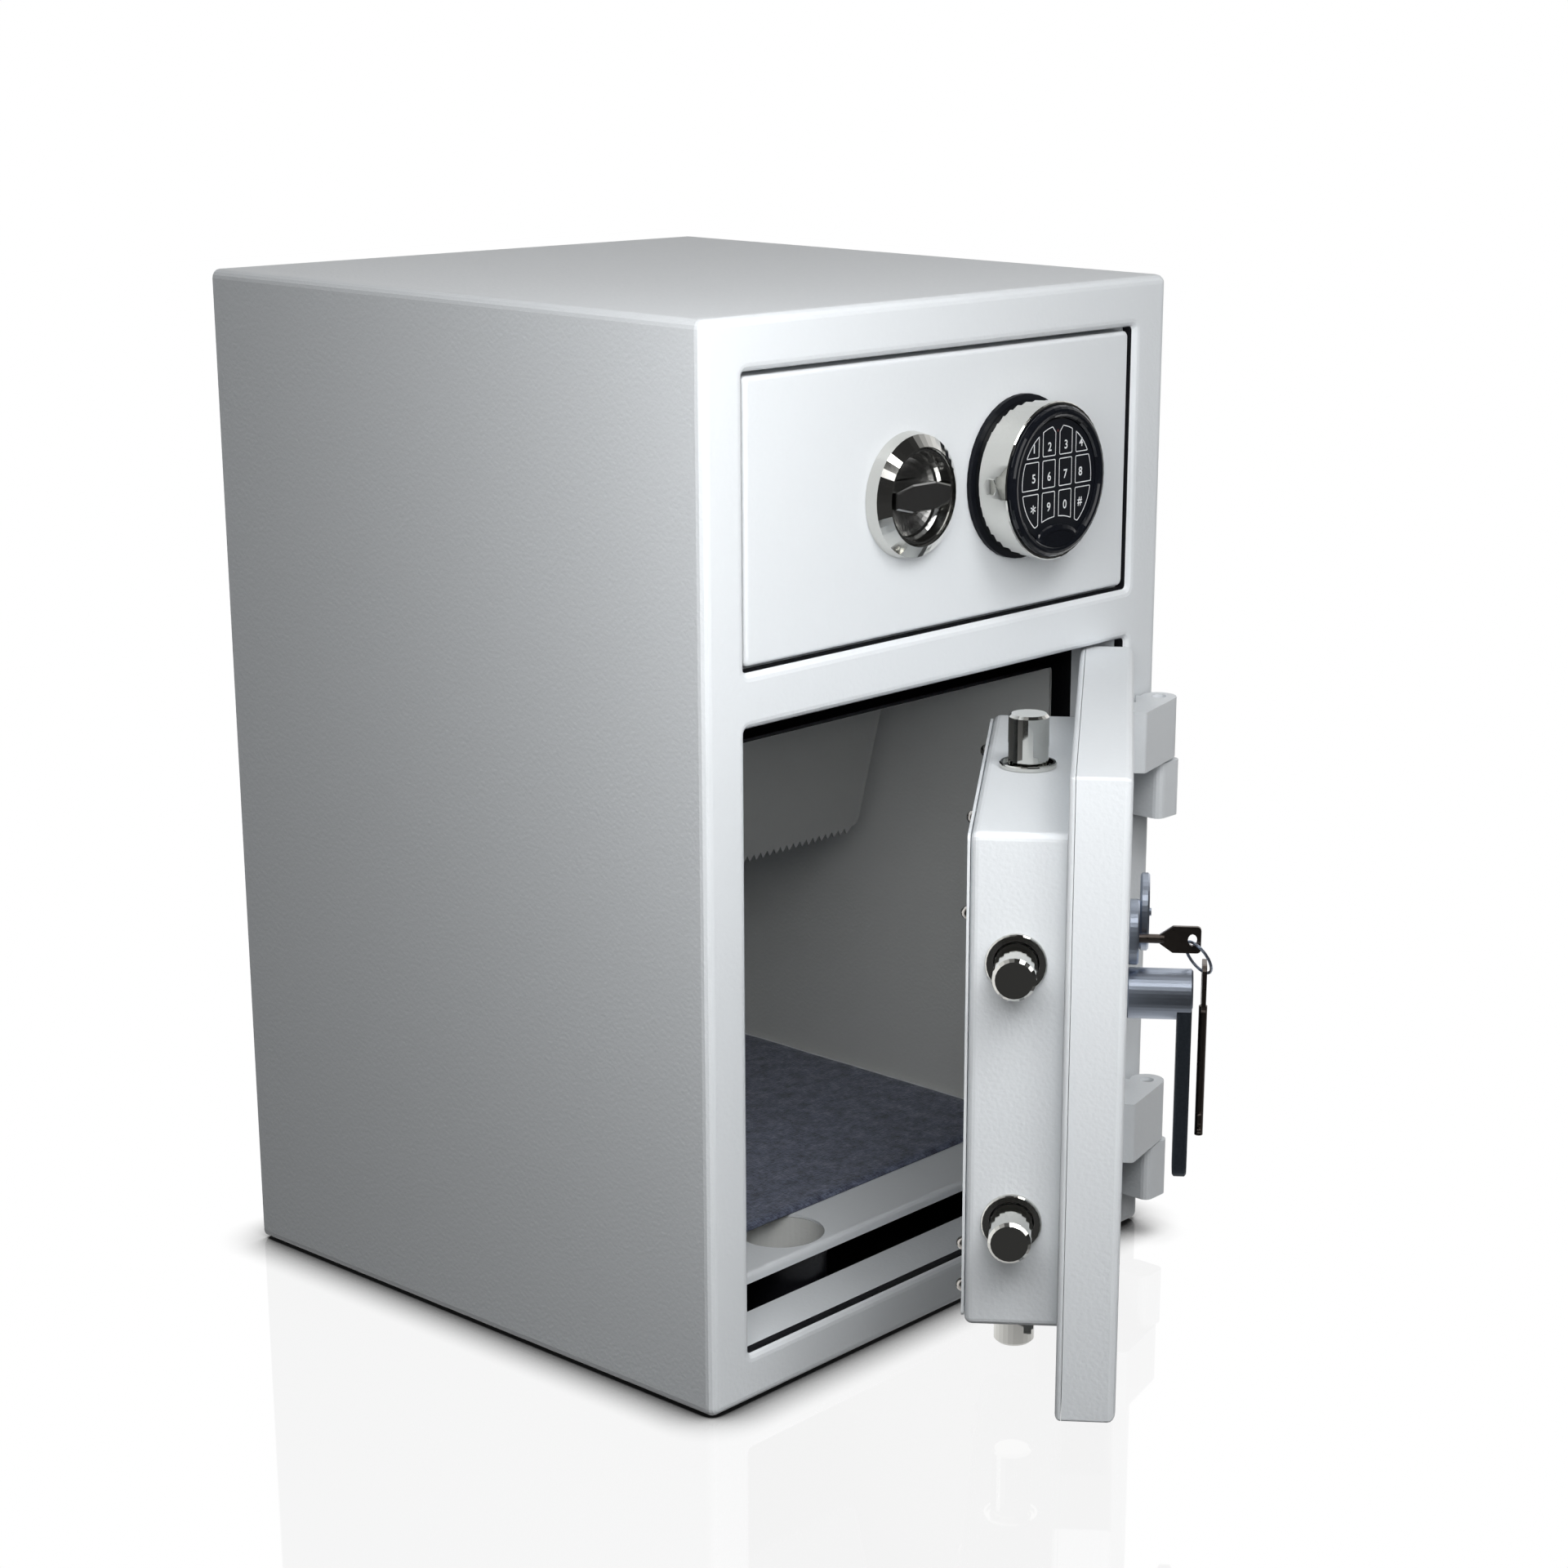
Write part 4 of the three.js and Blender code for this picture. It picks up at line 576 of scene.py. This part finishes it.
def key_outline(column, row):
    """Corner points of one key, counter-clockwise, with its arcs as short chords."""
    inner = column in (1, 2)
    near, far = (COLUMN_INNER, COLUMN_SPLIT) if inner else (COLUMN_OUTER, KEY_CIRCLE)
    low, high = ROW_EDGES[row]

    def circle(along):
        return math.sqrt(max(0.0, KEY_CIRCLE**2 - along**2))

    def bottom(x):
        arc = LOWER_ARC["centre"] + math.sqrt(LOWER_ARC["radius"] ** 2 - x**2)
        return max(low, arc, -circle(x))

    def top(x):
        return min(high, circle(x))

    if row == 1 and not inner:
        heights = [low + (high - low) * step / ARC_STEPS for step in range(ARC_STEPS + 1)]
        points = [(near, low), *((circle(z), z) for z in heights), (near, high)]
    else:
        if not inner:
            far = circle(low if row == 0 else high)
        xs = [near + (far - near) * step / ARC_STEPS for step in range(ARC_STEPS + 1)]
        lower = [(x, bottom(x)) for x in xs]
        upper = [(x, top(x)) for x in reversed(xs)]
        if row == 0 and inner:
            notch = near + LAMP_NOTCH["width"]
            upper = [p for p in upper if p[0] > notch]
            upper += [(notch, top(notch)), (near, top(near) - LAMP_NOTCH["drop"])]
        if row != 2:
            lower = [lower[0], lower[-1]]
        if row != 0:
            upper = [upper[0], upper[-1]]
        points = lower + upper
    clean = []
    for p in points:
        if not clean or math.dist(p, clean[-1]) > SAME_POINT:
            clean.append(p)
    if math.dist(clean[0], clean[-1]) < SAME_POINT:
        clean.pop()
    return [(-x, z) for x, z in reversed(clean)] if column < 2 else clean


def corners(points):
    """Each point of a closed outline between its neighbours."""
    return zip(points[-1:] + points[:-1], points, points[1:] + points[:1])


def rounded(points, radius):
    """The outline with each sharp corner as a short arc."""
    made = []
    for before, here, after in corners(points):
        a, b = Vector(before) - Vector(here), Vector(after) - Vector(here)
        turn = math.pi - a.angle(b)
        if turn < math.radians(20):
            made.append(here)
            continue
        reach = min(radius * math.tan(turn / 2), radius * 1.4, a.length * 0.45, b.length * 0.45)
        start, end = Vector(here) + a.normalized() * reach, Vector(here) + b.normalized() * reach
        for step in range(CORNER_STEPS + 1):
            t = step / CORNER_STEPS
            made.append(tuple(start * (1 - t) ** 2 + Vector(here) * 2 * t * (1 - t) + end * t**2))
    return made


def offset(points, distance):
    """The outline moved inwards by a distance."""
    made = []
    for before, here, after in corners(points):
        a = (Vector(here) - Vector(before)).normalized()
        b = (Vector(after) - Vector(here)).normalized()
        normal = (Vector((-a.y, a.x)) + Vector((-b.y, b.x))).normalized()
        scale = distance / max(0.5, normal.dot(Vector((-a.y, a.x))))
        made.append(tuple(Vector(here) + normal * scale))
    return made


class SAFE_OT_keypad_print(bpy.types.Operator):
    """Print the key outlines and figures, and set the lamp, on the keypad's face"""

    bl_idname = "safe.keypad_print"
    bl_label = "Keypad print"

    def execute(self, context):
        sizes = context.scene.safe_fittings
        low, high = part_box("keypad_mat")
        self.centre = Vector(((low.x + high.x) / 2, low.y - PRINT_RISE * MM, (low.z + high.z) / 2))
        ink = print_ink("white_ink", WHITE_INK)
        mesh_piece("key_outlines", *self.outlines(sizes), ink, "drawer", "black_moulding")
        mesh_piece("key_figures", *self.figures(context, sizes), ink, "drawer", "black_moulding")
        lamp = print_ink("red_lamp", RED_LAMP)
        mesh_piece("keypad_lamp", *self.lamp(), lamp, "drawer", "gloss_black")
        return {"FINISHED"}

    def on_face(self, x, z):
        """A point on the print, given in millimetres from the keypad's centre."""
        return self.centre + Vector((x, 0, z)) * MM

    def outlines(self, sizes):
        """A thin line round each key."""
        vertices, faces = [], []
        for row in range(3):
            for column in range(4):
                outer = rounded(key_outline(column, row), sizes.key_corner / MM)
                inner = offset(outer, sizes.key_line / MM)
                start, count = len(vertices), len(outer)
                vertices += [self.on_face(x, z) for x, z in outer + inner]
                for i in range(count):
                    j = (i + 1) % count
                    faces.append((start + i, start + j, start + count + j, start + count + i))
        return vertices, faces

    def figures(self, context, sizes):
        """The figure of each key, centred by its own outline."""
        vertices, faces = [], []
        for row, line in enumerate(KEY_FIGURES):
            for column, figure in enumerate(line):
                flat = self.flat_figure(context, figure, sizes.figure_height)
                spans = [[v.co[axis] for v in flat.vertices] for axis in (0, 1)]
                mid_x, mid_z = ((min(span) + max(span)) / 2 for span in spans)
                start = len(vertices)
                place = self.on_face(FIGURE_COLUMNS[column], FIGURE_ROWS[row])
                vertices += [place + Vector((v.co.x - mid_x, 0, v.co.y - mid_z)) for v in flat.vertices]
                faces += [tuple(start + i for i in face.vertices) for face in flat.polygons]
                bpy.data.meshes.remove(flat)
        return vertices, faces

    def flat_figure(self, context, figure, height):
        """One figure as a flat mesh of its own."""
        text = bpy.data.curves.new("figure", "FONT")
        text.body = figure
        text.size = height / CAP_SHARE * (STAR_GROWTH if figure == "*" else 1.0)
        text.offset = FIGURE_BOLDER * MM
        text.align_x, text.align_y = "CENTER", "CENTER"
        holder = bpy.data.objects.new("figure", text)
        context.scene.collection.objects.link(holder)
        context.view_layer.update()
        flat = bpy.data.meshes.new_from_object(holder.evaluated_get(context.evaluated_depsgraph_get()))
        bpy.data.objects.remove(holder)
        return flat

    def lamp(self):
        """The small round lamp above the keys."""
        points = 20
        turns = [2 * math.pi * i / points for i in range(points)]
        ring = [
            self.on_face(LAMP_RADIUS * math.cos(turn), LAMP_HEIGHT + LAMP_RADIUS * math.sin(turn))
            for turn in turns
        ]
        return ring, [tuple(range(points))]


# Share of the head's width, depth and rise that one bar of the cross recess takes.
SLOT_SHARES = (1.1, 0.22, 0.9)


def screw_tree(material):
    """Geometry nodes that set a pan head with a cross recess on each given point."""
    tree = bpy.data.node_groups.new("pan_head_screws", "GeometryNodeTree")
    tree.interface.new_socket("Geometry", in_out="INPUT", socket_type="NodeSocketGeometry")
    for name in ("Head radius", "Head rise", "Turn"):
        tree.interface.new_socket(name, in_out="INPUT", socket_type="NodeSocketFloat")
    tree.interface.new_socket("Geometry", in_out="OUTPUT", socket_type="NodeSocketGeometry")

    def add(kind, inputs=None, **settings):
        return add_node(tree, kind, inputs, **settings).outputs

    given = add("NodeGroupInput")
    radius, rise = given["Head radius"], given["Head rise"]
    dome = add("GeometryNodeMeshUVSphere", {"Segments": 24, "Rings": 12, "Radius": 1.0})
    size = add("ShaderNodeCombineXYZ", {"X": radius, "Y": radius, "Z": rise})["Vector"]
    fit = add("GeometryNodeTransform", {"Geometry": dome["Mesh"], "Scale": size})
    smooth = add("GeometryNodeSetShadeSmooth", {"Geometry": fit["Geometry"]})
    bar_size = add("ShaderNodeVectorMath", {0: size, 1: SLOT_SHARES}, operation="MULTIPLY")
    bar = add("GeometryNodeMeshCube", {"Size": bar_size["Vector"]})
    lift = add("ShaderNodeCombineXYZ", {"Z": rise})
    slot = add("GeometryNodeTransform", {"Geometry": bar["Mesh"], "Translation": lift["Vector"]})
    crossed = add(
        "GeometryNodeTransform", {"Geometry": slot["Geometry"], "Rotation": (0, 0, math.radians(90))},
    )
    recess = add("GeometryNodeMeshBoolean", {"Mesh 1": smooth["Geometry"]}, operation="DIFFERENCE")
    cutters = recess["Mesh"].node.inputs["Mesh 2"]
    for cutter in (slot, crossed):
        tree.links.new(cutter["Geometry"], cutters)
    spin = add("FunctionNodeRandomValue", {"Seed": 5, 3: given["Turn"]}, data_type="FLOAT")
    angle = add("ShaderNodeCombineXYZ", {"Z": spin[1]})
    screws = add(
        "GeometryNodeInstanceOnPoints",
        {"Points": given["Geometry"], "Instance": recess["Mesh"], "Rotation": angle["Vector"]},
    )
    real = add("GeometryNodeRealizeInstances", {"Geometry": screws["Instances"]})
    coated = add("GeometryNodeSetMaterial", {"Geometry": real["Geometry"], "Material": material})
    add("NodeGroupOutput", {"Geometry": coated["Geometry"]})
    return tree


# Screws of the box cover, on the shut door, in millimetres.
COVER_SCREWS = (
    (-132.0, 93.5), (-132.0, 116.5), (-132.0, 293.5), (-86.0, 330.5), (58.0, 330.5),
    (114.0, 293.5), (114.0, 116.5), (114.0, 93.5), (-86.0, 82.5), (58.0, 82.5),
)
COVER_FACE = -107.8


class SAFE_OT_screws(bpy.types.Operator):
    """Set the pan-head screws round the edge of the boltwork cover"""

    bl_idname = "safe.screws"
    bl_label = "Cover screws"

    def execute(self, context):
        sizes = context.scene.safe_fittings
        steel = polished_metal("screw_steel", SCREW_STEEL, 0.2)
        seeds = bpy.data.meshes.new("screw_points")
        seeds.from_pydata([(x * MM, z * MM, 0) for x, z in COVER_SCREWS], [], [])
        holder = bpy.data.objects.new("screw_points", seeds)
        context.scene.collection.objects.link(holder)
        modifier = holder.modifiers.new("screws", "NODES")
        modifier.node_group = screw_tree(steel)
        inputs = {item.name: item.identifier for item in modifier.node_group.interface.items_tree}
        given = {"Head radius": sizes.screw_head, "Head rise": sizes.screw_rise, "Turn": math.pi}
        for name, value in given.items():
            modifier[inputs[name]] = value
        context.view_layer.update()
        mesh = bpy.data.meshes.new_from_object(holder.evaluated_get(context.evaluated_depsgraph_get()))
        holder.modifiers.remove(modifier)
        bpy.data.objects.remove(holder)
        for vertex in mesh.vertices:
            across, high, out = vertex.co
            vertex.co = door_point(across / MM, COVER_FACE + out / MM, high / MM)
        mesh.flip_normals()
        mesh.update()
        screws = bpy.data.objects.new("cover_screws", mesh)
        context.scene.collection.objects.link(screws)
        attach(screws, "door")
        return {"FINISHED"}


# Lamps: place, side length, whether polished metal mirrors it. All aim at the same point.
LAMPS = {
    "high": ((-0.48, -1.90, 2.52), 1.2, True),
    "front": ((0.0, -1.51, 0.81), 0.8, True),
    "low": ((-0.72, -0.84, 0.70), 0.6, False),
    "near": ((-0.48, -0.55, 0.69), 0.44, False),
}
LAMP_AIM = (0, -0.1, 0.3)


def area_lamp(name, place, size, power, mirrored):
    """A square lamp that the camera doesn't see."""
    lamp = bpy.data.lights.new(name, "AREA")
    lamp.shape = "SQUARE"
    lamp.size = size
    lamp.energy = power
    holder = bpy.data.objects.new(name, lamp)
    holder.location = place
    holder.rotation_euler = (Vector(LAMP_AIM) - Vector(place)).to_track_quat("-Z", "Y").to_euler()
    holder.visible_camera = False
    holder.visible_glossy = mirrored
    bpy.context.scene.collection.objects.link(holder)


# The camera stands where the photograph's perspective puts it.
CAMERA_PLACE = (-1.2561, -1.2388, 0.7297)
CAMERA_RIGHT = Vector((0.640876, -0.767539, 0.012703))
CAMERA_AHEAD = Vector((0.739200, 0.612582, -0.279871))
CAMERA_SENSOR = 36
CAMERA_LENS = 70.352
CAMERA_SHIFT = (-0.11114, 0.06902)
PICTURE_SIDE = 1920

# In mirror images the room and the floor are white behind the object along this way and dark
# before it. Each fade says where it starts and ends along the way, and the light at both.
BACK_WAY = (0.35, 0.937, 0.0)
ROOM_FADE = (-0.25, 0.35, 0.03, 1.0)
FLOOR_FADE = (-0.55, -0.15, 0.04, 0.95)

FLOOR_HALF = 6.0
FLOOR_DROP = 0.0004
FLOOR_TONE = (0.06, 0.06, 0.06, 1)
FLOOR_MIRROR = 0.10

# The contact shadow: how far it looks for the object, and the openness from dark to white.
CONTACT_REACH = 0.03
CONTACT_FADE = (0.45, 0.99)


class SAFE_OT_studio(bpy.types.Operator):
    """Set the camera, lamps, white room and mirror floor"""

    bl_idname = "safe.studio"
    bl_label = "Studio"

    def execute(self, context):
        scene = context.scene
        studio = scene.safe_studio
        camera = bpy.data.objects.new("camera", bpy.data.cameras.new("camera"))
        camera.data.lens = CAMERA_LENS
        camera.data.sensor_width = CAMERA_SENSOR
        camera.data.shift_x, camera.data.shift_y = CAMERA_SHIFT
        up = CAMERA_RIGHT.cross(CAMERA_AHEAD)
        turn = Matrix((CAMERA_RIGHT, up, -CAMERA_AHEAD)).transposed()
        camera.matrix_world = Matrix.Translation(CAMERA_PLACE) @ turn.to_4x4()
        scene.collection.objects.link(camera)
        scene.camera = camera
        scene.render.resolution_x = scene.render.resolution_y = PICTURE_SIDE
        scene.view_settings.view_transform = "Standard"
        for name, (place, size, mirrored) in LAMPS.items():
            area_lamp(f"{name}_lamp", place, size, getattr(studio, f"{name}_power"), mirrored)
        self.white_room(scene, studio.sky)
        self.mirror_floor(context)
        return {"FINISHED"}

    def white_room(self, scene, sky):
        """White to the camera; in reflections white behind the object and dark before it."""
        world = bpy.data.worlds.new("white_room")
        world.use_nodes = True
        tree = world.node_tree
        way = add_node(tree, "ShaderNodeTexCoord").outputs["Generated"]
        towards = add_node(tree, "ShaderNodeVectorMath", {0: way, 1: BACK_WAY}, operation="DOT_PRODUCT")
        mirrored = add_span(tree, towards.outputs["Value"], *ROOM_FADE)
        path = add_node(tree, "ShaderNodeLightPath").outputs
        unseen = add_span(tree, path["Is Glossy Ray"], 0, 1, sky, mirrored)
        background = tree.nodes["Background"].inputs
        put(tree, background["Color"], (1, 1, 1, 1))
        put(tree, background["Strength"], add_span(tree, path["Is Camera Ray"], 0, 1, unseen, 1.0))
        scene.world = world

    def mirror_floor(self, context):
        """White floor with a faint mirror image and a dark line of contact shadow."""
        mesh = bpy.data.meshes.new("studio_floor")
        square = ((-1, -1, 0), (1, -1, 0), (1, 1, 0), (-1, 1, 0))
        mesh.from_pydata([Vector(corner) * FLOOR_HALF for corner in square], [], [(0, 1, 2, 3)])
        floor = bpy.data.objects.new("studio_floor", mesh)
        floor.location.z = -FLOOR_DROP
        context.scene.collection.objects.link(floor)
        nodes = Nodes("white_floor")
        near = nodes.add("ShaderNodeAmbientOcclusion", {"Distance": CONTACT_REACH}, samples=16)
        shadow = nodes.span(near.outputs["AO"], *CONTACT_FADE, 0.0, 1.0)
        tone = nodes.blend(shadow, (0, 0, 0), (1, 1, 1))
        white = nodes.add("ShaderNodeEmission", {"Strength": 1.0, "Color": tone})
        mirror = nodes.add("ShaderNodeBsdfGlossy", {"Color": (1, 1, 1, 1), "Roughness": 0.03})
        plain = nodes.add("ShaderNodeBsdfDiffuse", {"Color": FLOOR_TONE})
        behind = nodes.add("ShaderNodeVectorMath", {0: nodes.place, 1: BACK_WAY}, operation="DOT_PRODUCT")
        level = nodes.span(behind.outputs["Value"], *FLOOR_FADE)
        in_metal = nodes.add("ShaderNodeEmission", {"Strength": level})
        path = nodes.add("ShaderNodeLightPath").outputs

        def either(factor, low, high):
            inputs = {0: factor, 1: low.outputs[0], 2: high.outputs[0]}
            return nodes.add("ShaderNodeMixShader", inputs)

        faint = either(FLOOR_MIRROR, white, mirror)
        unseen = either(path["Is Glossy Ray"], plain, in_metal)
        shown = either(path["Is Camera Ray"], unseen, faint)
        output = next(n for n in nodes.tree.nodes if n.type == "OUTPUT_MATERIAL")
        nodes.tree.links.new(shown.outputs[0], output.inputs["Surface"])
        mesh.materials.append(nodes.material)


class SAFE_PT_panel(bpy.types.Panel):
    """Steps of the safe's finish"""

    bl_idname = "SAFE_PT_panel"
    bl_label = "Drop Safe"
    bl_space_type = "VIEW_3D"
    bl_region_type = "UI"
    bl_category = "Drop Safe"

    def draw(self, context):
        for step in STEPS:
            self.layout.operator(step.bl_idname)
        for group in ("safe_coats", "safe_fittings", "safe_studio"):
            settings = getattr(context.scene, group)
            for name in settings.bl_rna.properties.keys():
                if name not in ("rna_type", "name"):
                    self.layout.prop(settings, name)


STEPS = (SAFE_OT_coats, SAFE_OT_felt, SAFE_OT_keypad_print, SAFE_OT_screws, SAFE_OT_studio)
CLASSES = (SafeCoats, SafeFittings, SafeStudio, *STEPS, SAFE_PT_panel)


def register():
    for cls in CLASSES:
        bpy.utils.register_class(cls)
    bpy.types.Scene.safe_coats = bpy.props.PointerProperty(type=SafeCoats)
    bpy.types.Scene.safe_fittings = bpy.props.PointerProperty(type=SafeFittings)
    bpy.types.Scene.safe_studio = bpy.props.PointerProperty(type=SafeStudio)


def unregister():
    for name in ("safe_coats", "safe_fittings", "safe_studio"):
        delattr(bpy.types.Scene, name)
    for cls in reversed(CLASSES):
        bpy.utils.unregister_class(cls)


def main():
    register()
    for step in STEPS:
        group, name = step.bl_idname.split(".")
        getattr(getattr(bpy.ops, group), name)()


if __name__ == "__main__":
    main()
